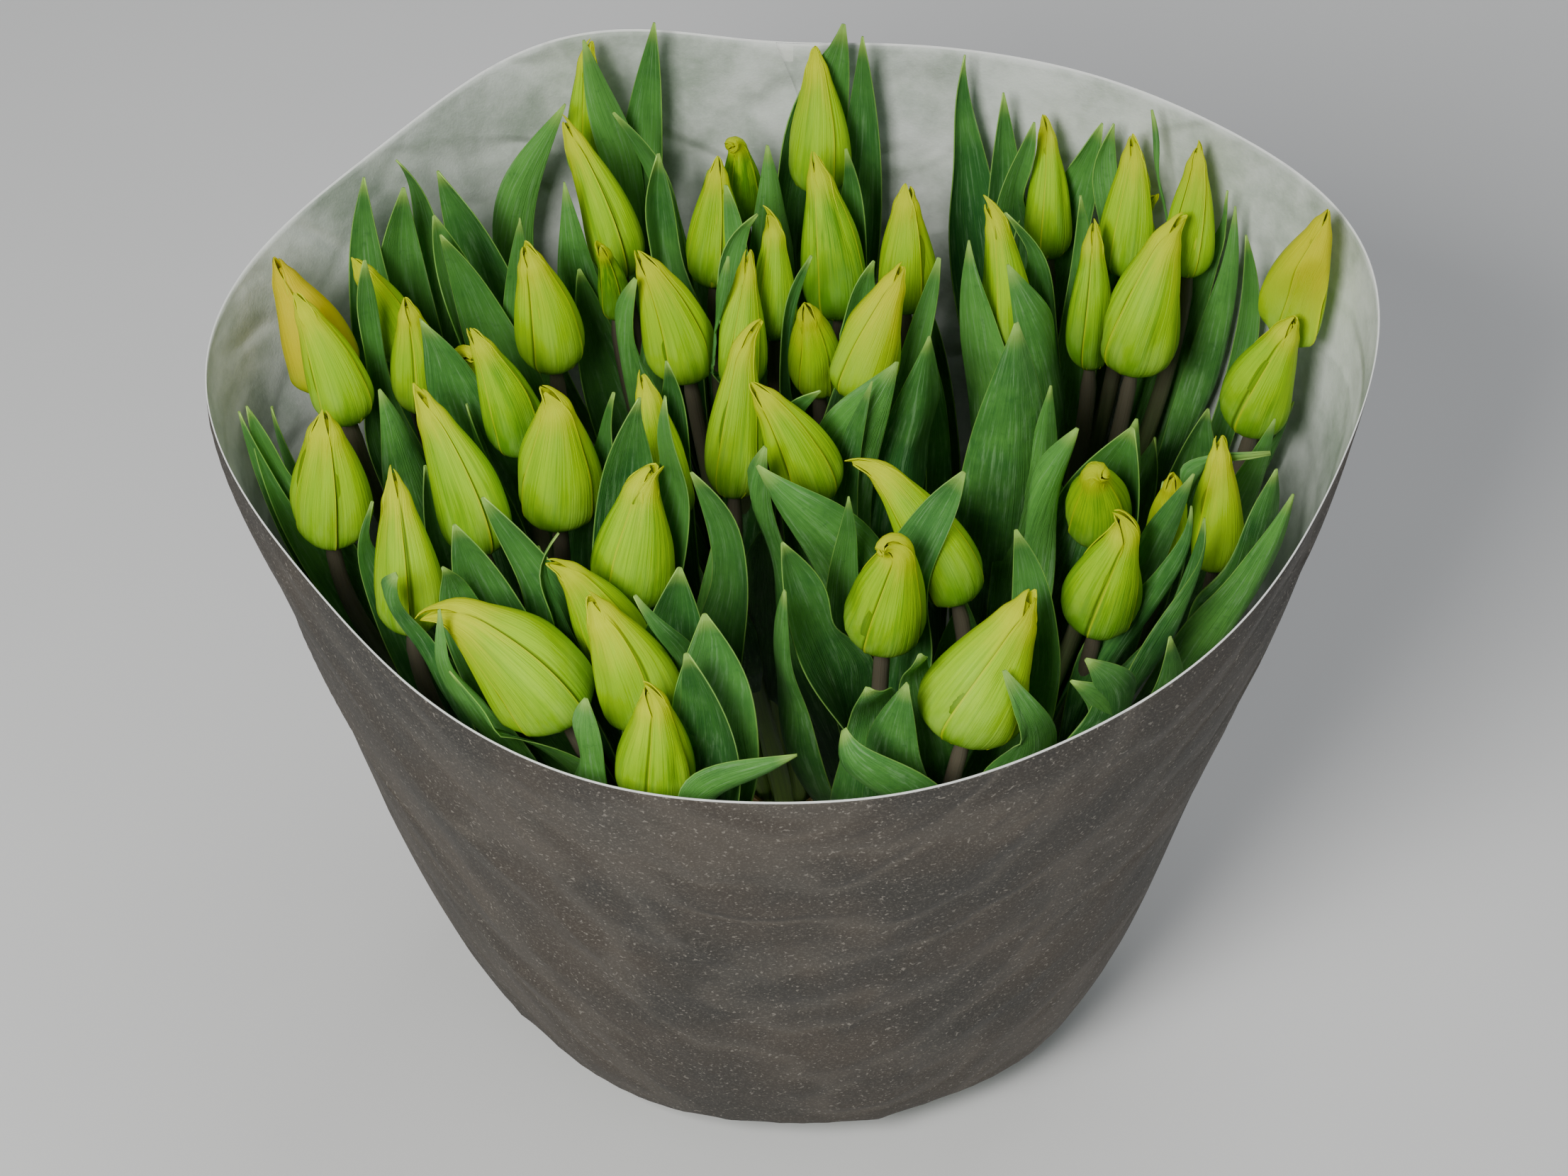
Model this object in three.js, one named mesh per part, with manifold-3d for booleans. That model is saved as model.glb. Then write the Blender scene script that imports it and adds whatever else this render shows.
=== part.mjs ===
// A sleeved bunch of cut tulips that stands on its cut ends.
//
// Five small bundles of leafy stems, each held by an elastic band, stand side by side in one
// flared paper sleeve. The stems fan out as they rise, and each carries one closed bud.
// Millimetres, +Z up. The origin is under the middle of the bunch, on the surface it stands on.

import * as THREE from "three";
import { mergeVertices } from "three/addons/utils/BufferGeometryUtils.js";
import Module from "manifold-3d";

const wasm = await Module();
wasm.setup();

// ---- driving dimensions -------------------------------------------------------------------

const FOOT_HEIGHT = 320; // where the buds sit on their stems, in the middle of the bunch
const FOOT_RISE = 0.1; // the back of the bunch stands higher: rise of the feet per mm of depth
const STEM_RADIUS = { cut: 4.6, neck: 3.5 }; // the stem tapers from its cut end to the bud
const WAIST_HEIGHT = 62; // where a bundle is slimmest
const BAND = { sides: 18, height: 58, width: 6, thickness: 1.3, gap: 1.1 };
const STEM_PITCH = 7.2; // how near the stems of a bundle are pressed together by the band
const END_SPLAY = 1.3; // the cut ends stand wider than the banded waist

// The sleeve's rim, anticlockwise from its right side: lowest at the front, highest at the back.
const RIM = [
  [227, 28, 406],
  [179, 101, 409],
  [91, 150, 406],
  [-3, 165, 400],
  [-88, 170, 399],
  [-157, 125, 386],
  [-211, 62, 374],
  [-226, 10, 366],
  [-182, -76, 346],
  [-97, -150, 329],
  [-2, -170, 327],
  [70, -164, 336],
  [137, -136, 350],
  [192, -87, 375],
];
const PAPER = 0.9;
const HEM_HEIGHT = 30;
// Sleeve profile: share of the rim's height, and share of the mouth's width at that height.
const PROFILE = [
  [0.0, 0.57],
  [0.3, 0.742],
  [0.5, 0.82],
  [0.7, 0.893],
  [0.87, 0.965],
  [1.0, 1.0],
];

const LEAF = {
  widest: 27, // half width of the broadest leaf
  fullness: 1.22, // a leaf is this much wider than it looks, because it is hollow
  thickness: 1.1,
  clasp: 7.5, // how far its lower part stands from the stem's middle
  root: { low: 130, high: 190 }, // height of its root
  tipHeight: 380, // height of the tips in the middle of the bunch
  highest: 429,
  lineGap: 2.5, // how far its middle line stands off its own bud
  budGap: 3.4, // and its outer side, once the section is round it
  clearance: 4, // between it and another bud of its bundle
  layer: 0.8, // between the leaves of one tulip where they are pressed together
  count: 2, // the leaves that a tulip has at the least
};
const STEM_ROOM = 8; // radius of the room that a stem with its leaves takes
const BOW = 0.36; // how upright a bud starts before it leans
const CROWDING = 10; // how late and how sharply a bud or leaf gives way to its neighbours
const BUD_GAP = 3.2; // the buds stop this far short of the middle line between two tulips
const LEAF_GAP = 0.6; // and the leaves this far
const WALL_GAP = 2.2; // buds and leaves keep this far inside the sleeve

// ---- the photograph's view, which the buds and leaves were placed from ------------------------

const VIEW = {
  centre: [1106, 829.5], // middle of the picture, in pixels
  focal: 7000, // in pixels
  elevation: THREE.MathUtils.degToRad(48),
  distance: 1823,
  aimHeight: 303,
  pixelsPerMm: 3.93, // at the buds
};
const AWAY = new THREE.Vector3(0, -Math.cos(VIEW.elevation), Math.sin(VIEW.elevation));
const UPRIGHT = new THREE.Vector3(0, Math.sin(VIEW.elevation), Math.cos(VIEW.elevation));
const EYE = new THREE.Vector3(0, 0, VIEW.aimHeight).addScaledVector(AWAY, VIEW.distance);

// Each bud: bundle, its tip and foot and its width in pixels, and how many mm nearer to the
// viewer it stands than the even slope of the feet.
const BUDS = [
  ["a", [789, 95], [812, 335], 78, 10],
  ["a", [762, 232], [858, 478], 88, 0],
  ["b", [285, 443], [405, 645], 125, 4],
  ["b", [352, 505], [440, 700], 98, 20],
  ["b", [442, 452], [520, 605], 80, 0],
  ["b", [525, 515], [555, 682], 92, 0],
  ["b", [600, 590], [645, 728], 98, -14],
  ["b", [624, 560], [705, 748], 98, 18],
  ["b", [755, 648], [762, 852], 136, 0],
  ["b", [707, 428], [755, 618], 108, 0],
  ["b", [398, 682], [412, 880], 130, 0],
  ["b", [538, 645], [645, 898], 112, 0],
  ["d", [505, 770], [535, 1022], 108, 0],
  ["d", [560, 972], [728, 1165], 118, 0],
  ["d", [755, 912], [855, 1075], 105, -4],
  ["d", [803, 965], [892, 1160], 125, 6],
  ["d", [905, 1105], [910, 1290], 118, -14],
  ["d", [895, 762], [875, 975], 128, 0],
  ["d", [885, 620], [930, 850], 90, 0],
  ["a", [880, 440], [960, 632], 118, 0],
  ["a", [1047, 540], [1030, 815], 92, 0],
  ["e", [1053, 640], [1152, 818], 106, 12],
  ["a", [1052, 440], [1038, 650], 82, 0],
  ["a", [1090, 375], [1092, 575], 74, 0],
  ["a", [1150, 288], [1190, 540], 108, 0],
  ["a", [1155, 122], [1160, 347], 100, 24],
  ["a", [1005, 297], [1000, 490], 92, 0],
  ["a", [1033, 258], [1045, 400], 66, 4],
  ["a", [822, 430], [850, 545], 48, 0],
  ["e", [1137, 523], [1160, 655], 90, -10],
  ["e", [1290, 460], [1220, 660], 108, 14],
  ["c", [1293, 332], [1292, 530], 95, 0],
  ["c", [1425, 355], [1452, 592], 88, 0],
  ["c", [1512, 226], [1512, 450], 76, 4],
  ["c", [1648, 258], [1635, 475], 108, 16],
  ["c", [1766, 262], [1725, 475], 88, 30],
  ["c", [1580, 390], [1575, 620], 78, -6],
  ["c", [1707, 383], [1640, 622], 130, 6],
  ["c", [1972, 374], [1905, 570], 130, 44],
  ["c", [1898, 538], [1825, 712], 118, 0],
  ["c", [1775, 725], [1765, 925], 92, 0],
  ["c", [1705, 785], [1690, 905], 64, 6],
  ["e", [1578, 775], [1588, 880], 100, 0],
  ["e", [1645, 845], [1585, 1018], 116, 0],
  ["e", [1493, 958], [1398, 1172], 106, 0],
  ["e", [1290, 875], [1258, 1042], 124, 0],
  ["e", [1225, 745], [1370, 975], 110, 0],
  ["c", [1437, 622], [1440, 800], 86, 0],
  ["c", [1688, 350], [1600, 490], 58, -6],
];

// Each leaf that shows: its tip, a place lower on its middle and its width there, in pixels, and
// how many mm nearer to the viewer its tip stands than the even slope of the tips.
const LEAVES = [
  [[450, 325], [452, 440], 75, 0],
  [[521, 343], [508, 450], 75, -6],
  [[530, 262], [560, 430], 75, 0],
  [[567, 378], [600, 480], 68, 6],
  [[580, 405], [630, 510], 60, 0],
  [[572, 310], [640, 450], 100, -4],
  [[762, 235], [665, 420], 95, 0],
  [[706, 395], [703, 470], 34, 0],
  [[767, 360], [782, 470], 62, 0],
  [[803, 128], [835, 270], 62, 35],
  [[911, 80], [893, 280], 82, 0],
  [[848, 222], [935, 350], 48, 12],
  [[912, 292], [905, 430], 98, 4],
  [[1085, 293], [1090, 430], 62, 0],
  [[1062, 370], [1010, 460], 48, 8],
  [[1016, 338], [1032, 410], 45, 10],
  [[1198, 88], [1140, 280], 130, -8],
  [[1231, 103], [1230, 300], 66, 0],
  [[1201, 283], [1215, 400], 56, 8],
  [[1245, 455], [1225, 520], 50, 6],
  [[1363, 133], [1385, 330], 90, 0],
  [[1147, 440], [1085, 590], 48, 4],
  [[1017, 458], [1015, 510], 30, 4],
  [[1343, 452], [1332, 540], 52, 0],
  [[1375, 455], [1410, 600], 75, 0],
  [[1447, 192], [1447, 320], 56, 0],
  [[1490, 245], [1468, 390], 80, 12],
  [[1445, 383], [1480, 460], 48, 0],
  [[1607, 235], [1555, 340], 90, 0],
  [[1618, 237], [1590, 320], 60, -12],
  [[1568, 352], [1565, 420], 26, 0],
  [[1695, 175], [1715, 310], 34, 0],
  [[1796, 342], [1700, 620], 75, 0],
  [[1813, 380], [1768, 640], 90, 0],
  [[1817, 415], [1835, 530], 40, 6],
  [[1458, 485], [1525, 640], 120, 0],
  [[1467, 568], [1455, 760], 135, 58],
  [[1521, 656], [1515, 730], 42, 12],
  [[1553, 725], [1480, 840], 100, 6],
  [[1646, 708], [1610, 790], 110, -10],
  [[1855, 766], [1720, 790], 60, -17],
  [[1734, 787], [1670, 900], 52, 10],
  [[1784, 848], [1690, 965], 75, 4],
  [[1815, 860], [1755, 975], 85, 4],
  [[1868, 785], [1840, 880], 78, 0],
  [[1911, 833], [1890, 880], 40, 0],
  [[1862, 705], [1840, 755], 28, -20],
  [[241, 685], [298, 790], 45, 0],
  [[264, 675], [330, 790], 72, 0],
  [[463, 452], [480, 680], 95, 25],
  [[568, 545], [605, 650], 85, 15],
  [[642, 815], [690, 880], 75, 0],
  [[472, 820], [478, 890], 28, 0],
  [[603, 857], [645, 950], 95, 0],
  [[738, 885], [750, 1030], 60, 0],
  [[877, 488], [850, 600], 95, -5],
  [[927, 598], [950, 730], 72, 0],
  [[846, 648], [830, 750], 58, 0],
  [[885, 665], [870, 750], 56, 35],
  [[925, 665], [915, 780], 46, 50],
  [[964, 782], [1045, 885], 90, 0],
  [[1162, 648], [1122, 680], 32, -8],
  [[1073, 755], [1050, 810], 50, 0],
  [[1062, 800], [1125, 840], 66, 0],
  [[1281, 633], [1215, 715], 100, 0],
  [[1232, 685], [1188, 840], 56, 0],
  [[1340, 590], [1320, 730], 115, 0],
  [[1385, 775], [1345, 840], 80, 5],
  [[1205, 810], [1195, 990], 52, 0],
  [[1090, 880], [1150, 1000], 105, 0],
  [[1462, 866], [1510, 1060], 110, 0],
  [[880, 983], [890, 1025], 32, 8],
  [[945, 925], [935, 990], 75, 0],
  [[985, 995], [1010, 1080], 105, 0],
  [[1095, 977], [1060, 1050], 70, -8],
  [[962, 1050], [1000, 1155], 130, 0],
  [[1238, 1128], [1240, 1200], 75, 0],
  [[1290, 1113], [1278, 1170], 58, -14],
  [[1315, 1070], [1340, 1190], 92, 0],
  [[1420, 1085], [1430, 1190], 100, -10],
  [[1133, 1215], [1210, 1250], 80, 0],
  [[1138, 1240], [1040, 1262], 55, 8],
  [[795, 1142], [785, 1210], 80, 0],
  [[590, 1098], [740, 1200], 42, 10],
  [[495, 955], [470, 985], 60, 0],
  [[580, 922], [600, 975], 42, 0],
  [[624, 955], [630, 1000], 24, 13],
  [[700, 995], [716, 1030], 24, 0],
  [[565, 1010], [582, 1075], 38, 0],
  [[1560, 1122], [1610, 1145], 50, 0],
  [[1583, 1085], [1620, 1110], 44, 0],
  [[1712, 1055], [1716, 1100], 38, 0],
];

// Where each bundle's waist stands on the ground plan.
const BUNDLES = { a: [0, 50], b: [-84, 26], c: [84, 28], d: [-44, -46], e: [46, -46] };

// ---- small helpers ----------------------------------------------------------------------------

const point = (x, y, z) => new THREE.Vector3(x, y, z);
const mix = THREE.MathUtils.lerp;
const clamp = THREE.MathUtils.clamp;
const smooth = THREE.MathUtils.smoothstep;

// An even draw from 0 to 1 that depends only on its number.
function draw(number) {
  const s = Math.sin(number * 12.9898) * 43758.5453;
  return s - Math.floor(s);
}

// Place of the span of a rising row of numbers that holds x.
function spanOf(numbers, x) {
  const above = numbers.findIndex((number) => number >= x);
  return above < 0 ? numbers.length - 1 : Math.max(1, above);
}

// Straight-line reading of a table of [x, y] rows at x.
function readTable(rows, x) {
  const k = spanOf(rows.map((row) => row[0]), x);
  const [[x0, y0], [x1, y1]] = [rows[k - 1], rows[k]];
  return mix(y0, y1, clamp((x - x0) / (x1 - x0), 0, 1));
}

// Skins a row of rings with equal point counts, and leaves the first and last ring open.
// A ring of one point closes that end to a tip. The quads from the place back on are cut along
// their other diagonal, so that the front and the back of a twisted blade stay alike.
function skin(rings, back = Infinity) {
  const n = Math.max(...rings.map((ring) => ring.length));
  const triangles = [];
  for (let r = 0; r + 1 < rings.length; r++) {
    const [low, high] = [rings[r], rings[r + 1]];
    for (let i = 0; i < n; i++) {
      const j = (i + 1) % n;
      const [above, below] = i >= back ? [i, j] : [j, i];
      if (low.length > 1) triangles.push(low[i], low[j], high[above % high.length]);
      if (high.length > 1) triangles.push(low[below % low.length], high[j], high[i]);
    }
  }
  return triangles;
}

// A flat ring filled from its first point.
function cap(ring) {
  return ring.slice(2).flatMap((p, i) => [ring[0], ring[i + 1], p]);
}

// A skinned row of rings closed by flat ends, or by the tips that it has.
function loft(rings, back) {
  const ends = [...cap(rings[0].toReversed()), ...cap(rings.at(-1))];
  return new THREE.BufferGeometry().setFromPoints([...skin(rings, back), ...ends]);
}

// A closed geometry as a solid that can be joined to others, and back.
function solidOf(geometry) {
  const merged = mergeVertices(geometry, 1e-4);
  return new wasm.Manifold(
    new wasm.Mesh({
      numProp: 3,
      vertProperties: merged.attributes.position.array,
      triVerts: new Uint32Array(merged.index.array),
    }),
  );
}

// Solids joined to one body. A hollow that the joining seals is filled.
function joined(geometries) {
  const bodies = wasm.Manifold.union(geometries.map(solidOf)).decompose();
  return geometryOf(bodies.reduce((most, body) => (body.volume() > most.volume() ? body : most)));
}

function geometryOf(solid) {
  const mesh = solid.getMesh();
  return new THREE.BufferGeometry()
    .setAttribute("position", new THREE.BufferAttribute(mesh.vertProperties, 3))
    .setIndex(new THREE.BufferAttribute(mesh.triVerts, 1));
}

// ---- the sleeve's surface ----------------------------------------------------------------------

const FULL_TURN = 2 * Math.PI;
const turnOf = (p) => (Math.atan2(p.y, p.x) + FULL_TURN) % FULL_TURN;
const rimPoints = new THREE.CatmullRomCurve3(RIM.map((p) => point(...p)), true)
  .getPoints(140)
  .slice(0, -1)
  .sort((p, q) => turnOf(p) - turnOf(q));
const rimReach = rimPoints.map((p) => [turnOf(p), Math.hypot(p.x, p.y)]);
const rimHeights = rimPoints.map((p) => [turnOf(p), p.z]);

// The sleeve's wall in one direction: its distance from the middle at a height, and its rim.
function wallAt(turn, z) {
  const rim = readTable(rimHeights, turn);
  return { reach: readTable(rimReach, turn) * readTable(PROFILE, z / rim), rim };
}

// A point drawn back inside the sleeve, or inside its straight upward run above the rim.
function insideSleeve(p, margin) {
  const wall = wallAt(turnOf(p), p.z);
  const used = Math.hypot(p.x, p.y);
  const reach = wall.reach - margin;
  if (used <= reach) return p;
  return point((p.x * reach) / used, (p.y * reach) / used, p.z);
}

// ---- the tulips' lines -------------------------------------------------------------------------

function rayThrough([px, py]) {
  return AWAY.clone()
    .negate()
    .addScaledVector(point(1, 0, 0), (px - VIEW.centre[0]) / VIEW.focal)
    .addScaledVector(UPRIGHT, (VIEW.centre[1] - py) / VIEW.focal)
    .normalize();
}

// The bud's foot stands on the slope of the feet, and its tip is one bud length away from it,
// on the tip's own line of sight and towards the viewer.
function placeBud([bundle, tipPixel, footPixel, widthPixels, nearer]) {
  const slope = point(0, -FOOT_RISE, 1);
  const ray = rayThrough(footPixel);
  const reach = (FOOT_HEIGHT - slope.dot(EYE)) / slope.dot(ray);
  const foot = EYE.clone().addScaledVector(ray, reach - nearer);
  const radius = widthPixels / VIEW.pixelsPerMm / 2;
  const sight = rayThrough(tipPixel);
  const toFoot = foot.clone().sub(EYE);
  const along = toFoot.dot(sight);
  const apart = Math.sqrt(Math.max(0, toFoot.lengthSq() - along * along));
  const length = Math.max(45 + 1.2 * radius, apart * 1.06);
  const tip = EYE.clone().addScaledVector(sight, along - Math.sqrt(length ** 2 - apart ** 2));
  return {
    bundle,
    foot: insideSleeve(foot, 0.8 * radius),
    tip: insideSleeve(tip, 2 * WALL_GAP),
    radius,
    length,
    leaves: [],
  };
}

const tulips = BUDS.map(placeBud);

// Stems of one bundle pressed together round its middle, in the order that their buds stand.
function pressStems(bundle) {
  const members = tulips.filter((tulip) => tulip.bundle === bundle);
  const middle = new THREE.Vector2();
  members.forEach((m) => middle.add(new THREE.Vector2(m.foot.x, m.foot.y)));
  middle.divideScalar(members.length);
  members.forEach((m) => {
    m.waist = new THREE.Vector2(m.foot.x, m.foot.y).sub(middle).multiplyScalar(0.2);
  });
  for (let round = 0; round < 300; round++) {
    members.forEach((m) => m.waist.multiplyScalar(0.99));
    members.forEach((m, i) =>
      members.slice(i + 1).forEach((other) => {
        const apart = m.waist.clone().sub(other.waist);
        const short = STEM_PITCH - apart.length();
        if (short <= 0) return;
        apart.setLength(short / 2);
        m.waist.add(apart);
        other.waist.sub(apart);
      }),
    );
  }
}
Object.keys(BUNDLES).forEach(pressStems);

// The tulip's middle line, as points from its cut end to its tip and on above it. The bud's part
// is a parabola that starts upright at the foot and leans to the tip.
tulips.forEach((tulip) => {
  const [cx, cy] = BUNDLES[tulip.bundle];
  const { foot, tip } = tulip;
  const waist = point(cx + tulip.waist.x, cy + tulip.waist.y, WAIST_HEIGHT);
  const end = point(cx + tulip.waist.x * END_SPLAY, cy + tulip.waist.y * END_SPLAY, 0);
  const lean = foot.clone().sub(tip).setZ(0);
  const knee = foot.clone().lerp(tip, 0.5).addScaledVector(lean, BOW);
  tulip.spine = new THREE.QuadraticBezierCurve3(foot, knee, tip);
  const upwards = tulip.spine.getPoint(1 / 8).sub(foot).normalize();
  const onwards = tip.clone().sub(tulip.spine.getPoint(7 / 8)).normalize();
  tulip.stem = new THREE.CubicBezierCurve3(
    waist,
    waist.clone().lerp(foot, 0.3),
    foot.clone().addScaledVector(upwards, -0.3 * foot.distanceTo(waist)),
    foot,
  );
  tulip.line = [
    end,
    ...tulip.stem.getPoints(24),
    ...tulip.spine.getPoints(8).slice(1),
    tip.clone().addScaledVector(onwards, 2 * tulip.length),
  ];
});

// Where the tulip's middle line is at a height.
function centreAt(tulip, z) {
  const k = spanOf(tulip.line.map((p) => p.z), z);
  const [low, high] = [tulip.line[k - 1], tulip.line[k]];
  return low.clone().lerp(high, clamp((z - low.z) / (high.z - low.z), 0, 1));
}

// Outline of a closed bud, as a share of its radius: round at the foot, widest at a quarter of
// its length, and drawn out to a slim tip.
function budOutline(t) {
  const foot = Math.sqrt(1 - (1 - Math.min(t / 0.25, 1)) ** 2.2);
  return foot * (1 - Math.max((t - 0.25) / 0.75, 0) ** 1.7);
}

// How much room the tulip takes at a height: round its bud, or round its stem with the leaves.
function widthAt(tulip, z) {
  const ramp = 22;
  const below = (tulip.foot.z - z) / ramp;
  const above = (z - tulip.tip.z) / ramp;
  return mix(tulip.radius + BUD_GAP, STEM_ROOM, clamp(Math.max(below, above), 0, 1));
}

// How far the bud, or the stem under it, reaches from the middle line at a height.
function budReach(tulip, z) {
  const t = (z - tulip.foot.z) / (tulip.tip.z - tulip.foot.z);
  const taper = 1 - clamp((t - 0.45) / 0.75, 0, 1) ** 1.7;
  return Math.max(1.06 * tulip.radius * smooth(t, -0.3, 0.02) * taper, 4);
}

// How much of the way from one tulip's middle line to another's is its own at a height. Two
// tulips share it by their widths, but a leaf may reach up to a bud of its own bundle.
function roomBetween(tulip, other, apart, z, leaf) {
  const own = widthAt(tulip, z);
  const share = (apart * own) / (own + widthAt(other, z));
  if (!leaf || other.bundle !== tulip.bundle) return share;
  return Math.max(share, apart - budReach(other, z) - LEAF.clearance);
}

// A point drawn towards its tulip's middle line, the more the nearer it comes to the edge of the
// tulip's own room, so that it never leaves it: out (1 + sum (reach / room)^p)^(-1/p).
function insideRoom(tulip, p, margin, leaf = false) {
  const centre = centreAt(tulip, p.z);
  const out = p.clone().sub(centre).setZ(0);
  let crowd = 0;
  for (const other of tulips) {
    if (other === tulip) continue;
    const way = centreAt(other, p.z).sub(centre).setZ(0);
    const apart = way.length();
    const room = Math.max(0.5, roomBetween(tulip, other, apart, p.z, leaf) - margin);
    crowd += Math.max(0, out.dot(way) / apart / room) ** CROWDING;
  }
  return centre.addScaledVector(out, (1 + crowd) ** (-1 / CROWDING));
}

// A point pushed out from its tulip's middle line to where it clears the bud or the stem.
function clearOfBud(tulip, p, gap) {
  const centre = centreAt(tulip, p.z);
  const out = p.clone().sub(centre).setZ(0);
  const short = (budReach(tulip, p.z) + gap) / Math.max(0.1, out.length());
  return centre.addScaledVector(out, (1 + short ** 10) ** 0.1);
}

// Room from a tulip's middle line in one direction at a height.
function roomTowards(tulip, angle, z) {
  const far = 70;
  const centre = centreAt(tulip, z);
  const out = point(Math.cos(angle), Math.sin(angle), 0);
  const held = insideSleeve(insideRoom(tulip, centre.clone().addScaledVector(out, far), 0), 0);
  return held.sub(centre).length();
}

// ---- the leaves' places -------------------------------------------------------------------------

// How far a blade turns to the viewer, and where along it its sections are.
const SEEN = { facing: 0.85, levels: [0.13, 0.5, 0.78, 0.92] };
const HIDDEN = {
  facing: 0.3,
  levels: [0.14, 0.5, 0.84],
  half: { least: 12, most: 16 }, // half width
  top: { lowest: -40, highest: 30 }, // height of its tip over its bud's foot
  drop: 70, // from its tip down to its body
  reach: { least: 12, most: 30, share: 0.75 }, // how far out it stands, and of the room there
  turned: -0.2, // cosine of the least angle between it and the tulip's other leaves
};
// What decides whose leaf it is: how far its tip counts beside its body, and each leaf over two.
const FIT = { tip: 0.7, crowded: 0.3 };

// The point of a line of sight that lies nearest to a distance from the eye, inside the sleeve.
function slide(sight, distance) {
  const step = 2;
  for (let i = 0; i <= 80; i++) {
    for (const along of [distance - i * step, distance + i * step]) {
      const p = EYE.clone().addScaledVector(sight, along);
      const room = wallAt(turnOf(p), p.z).reach - 3 * WALL_GAP;
      if (Math.hypot(p.x, p.y) < room && p.z < LEAF.highest) return p;
    }
  }
  return EYE.clone().addScaledVector(sight, distance);
}

// How far a point is from a tulip's middle line, as a share of the tulip's room there.
function shareOf(tulip, p) {
  return centreAt(tulip, p.z).distanceTo(p) / widthAt(tulip, p.z);
}

// The tip of a leaf that shows is on its own line of sight, on the slope of the tips, and its
// body hangs straight below. It grows from the tulip whose room it is in.
function placeLeaf([tipPixel, bodyPixel, widthPixels, nearer], seed) {
  const slope = point(0, -FOOT_RISE, 1);
  const sight = rayThrough(tipPixel);
  const tip = slide(sight, (LEAF.tipHeight - slope.dot(EYE)) / slope.dot(sight) - nearer);
  const drop = (bodyPixel[1] - tipPixel[1]) / VIEW.pixelsPerMm / Math.cos(VIEW.elevation);
  const lower = rayThrough(bodyPixel);
  const body = slide(lower, (tip.z - drop - EYE.z) / lower.z);
  const full = (tulip) => FIT.crowded * Math.max(0, tulip.leaves.length - LEAF.count);
  const fit = (tulip) => shareOf(tulip, body) + FIT.tip * shareOf(tulip, tip) + full(tulip);
  const tulip = tulips.reduce((best, one) => (fit(one) < fit(best) ? one : best));
  const half = widthPixels / VIEW.pixelsPerMm / 2;
  tulip.leaves.push({ tip, body, half, seed, shape: SEEN });
}

// Leaves that stand lower than the bud, where there is most room, turned away from the others.
function addHiddenLeaves(tulip, number) {
  const around = 24;
  const middle = mix(tulip.foot.z, tulip.tip.z, 0.4);
  const taken = tulip.leaves.map(({ body }) => {
    const out = body.clone().sub(centreAt(tulip, body.z));
    return Math.atan2(out.y, out.x);
  });
  const rooms = Array.from({ length: around }, (_, i) => {
    const turn = (FULL_TURN * i) / around;
    return { turn, room: roomTowards(tulip, turn, middle) };
  }).sort((p, q) => q.room - p.room);
  for (const { turn, room } of rooms) {
    const away = taken.every((other) => Math.cos(other - turn) < HIDDEN.turned);
    if (!away || tulip.leaves.length >= LEAF.count) continue;
    const seed = number * 10 + tulip.leaves.length;
    const out = point(Math.cos(turn), Math.sin(turn), 0);
    const reach = clamp(room * HIDDEN.reach.share, HIDDEN.reach.least, HIDDEN.reach.most);
    const top = tulip.foot.z + mix(HIDDEN.top.highest, HIDDEN.top.lowest, draw(seed * 3));
    const low = top - HIDDEN.drop;
    taken.push(turn);
    tulip.leaves.push({
      tip: centreAt(tulip, top).addScaledVector(out, 1.1 * reach),
      body: centreAt(tulip, low).addScaledVector(out, reach),
      half: mix(HIDDEN.half.least, HIDDEN.half.most, draw(seed * 5)),
      seed: 1000 + seed,
      shape: HIDDEN,
    });
  }
}

LEAVES.forEach(placeLeaf);
tulips.forEach((tulip, i) => addHiddenLeaves(tulip, i + 1));

// ---- solids -------------------------------------------------------------------------------------

// Three outer petals meet in three grooves: [angle in degrees, share of the radius].
const PETAL_SECTION = [
  [0, 0.86],
  [30, 1.05],
  [84, 1.0],
];
const BUD_RINGS = [0.06, 0.28, 0.6, 0.88];
const BUD_ROLL = -30; // where the first groove is, in degrees round the bud
const BUD_TWIST = 20; // how far the petals wind from foot to tip, in degrees
const SKIN_GAP = 1.5; // the buds keep this much further inside the sleeve than the leaves

function budSolid(tulip) {
  const ring = (t) => {
    const way = tulip.spine.getTangent(t);
    const side = point(0, 1, 0).cross(way).normalize();
    const front = way.clone().cross(side);
    return [0, 120, 240].flatMap((petal) =>
      PETAL_SECTION.map(([turn, share]) => {
        const angle = THREE.MathUtils.degToRad(petal + turn + BUD_ROLL + BUD_TWIST * t);
        const r = tulip.radius * budOutline(t) * share;
        const p = tulip.spine.getPoint(t);
        p.addScaledVector(side, r * Math.cos(angle)).addScaledVector(front, r * Math.sin(angle));
        return insideSleeve(insideRoom(tulip, p, BUD_GAP), WALL_GAP + SKIN_GAP);
      }),
    );
  };
  return loft([[tulip.foot], ...BUD_RINGS.map(ring), [tulip.tip]]);
}

function stemSolid(tulip) {
  const sides = 5;
  const neckGap = 0.5;
  const levels = [0, 0.55, 1];
  const rings = levels.map((s) => {
    const p = tulip.stem.getPoint(s);
    const way = tulip.stem.getTangent(s);
    if (s === 1) p.addScaledVector(way, -neckGap);
    return tubeRing(p, way, mix(STEM_RADIUS.cut, STEM_RADIUS.neck, s), sides);
  });
  const end = tulip.line[0];
  return loft([tubeRing(end, point(0, 0, 1), STEM_RADIUS.cut, sides), ...rings]);
}

// A ring of points round p, square to way.
function tubeRing(p, way, radius, sides) {
  const side = new THREE.Vector3(0, 1, 0).cross(way).normalize();
  const front = way.clone().cross(side).normalize();
  return Array.from({ length: sides }, (_, i) => {
    const angle = (FULL_TURN * i) / sides;
    return p
      .clone()
      .addScaledVector(side, radius * Math.cos(angle))
      .addScaledVector(front, radius * Math.sin(angle));
  });
}

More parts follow.
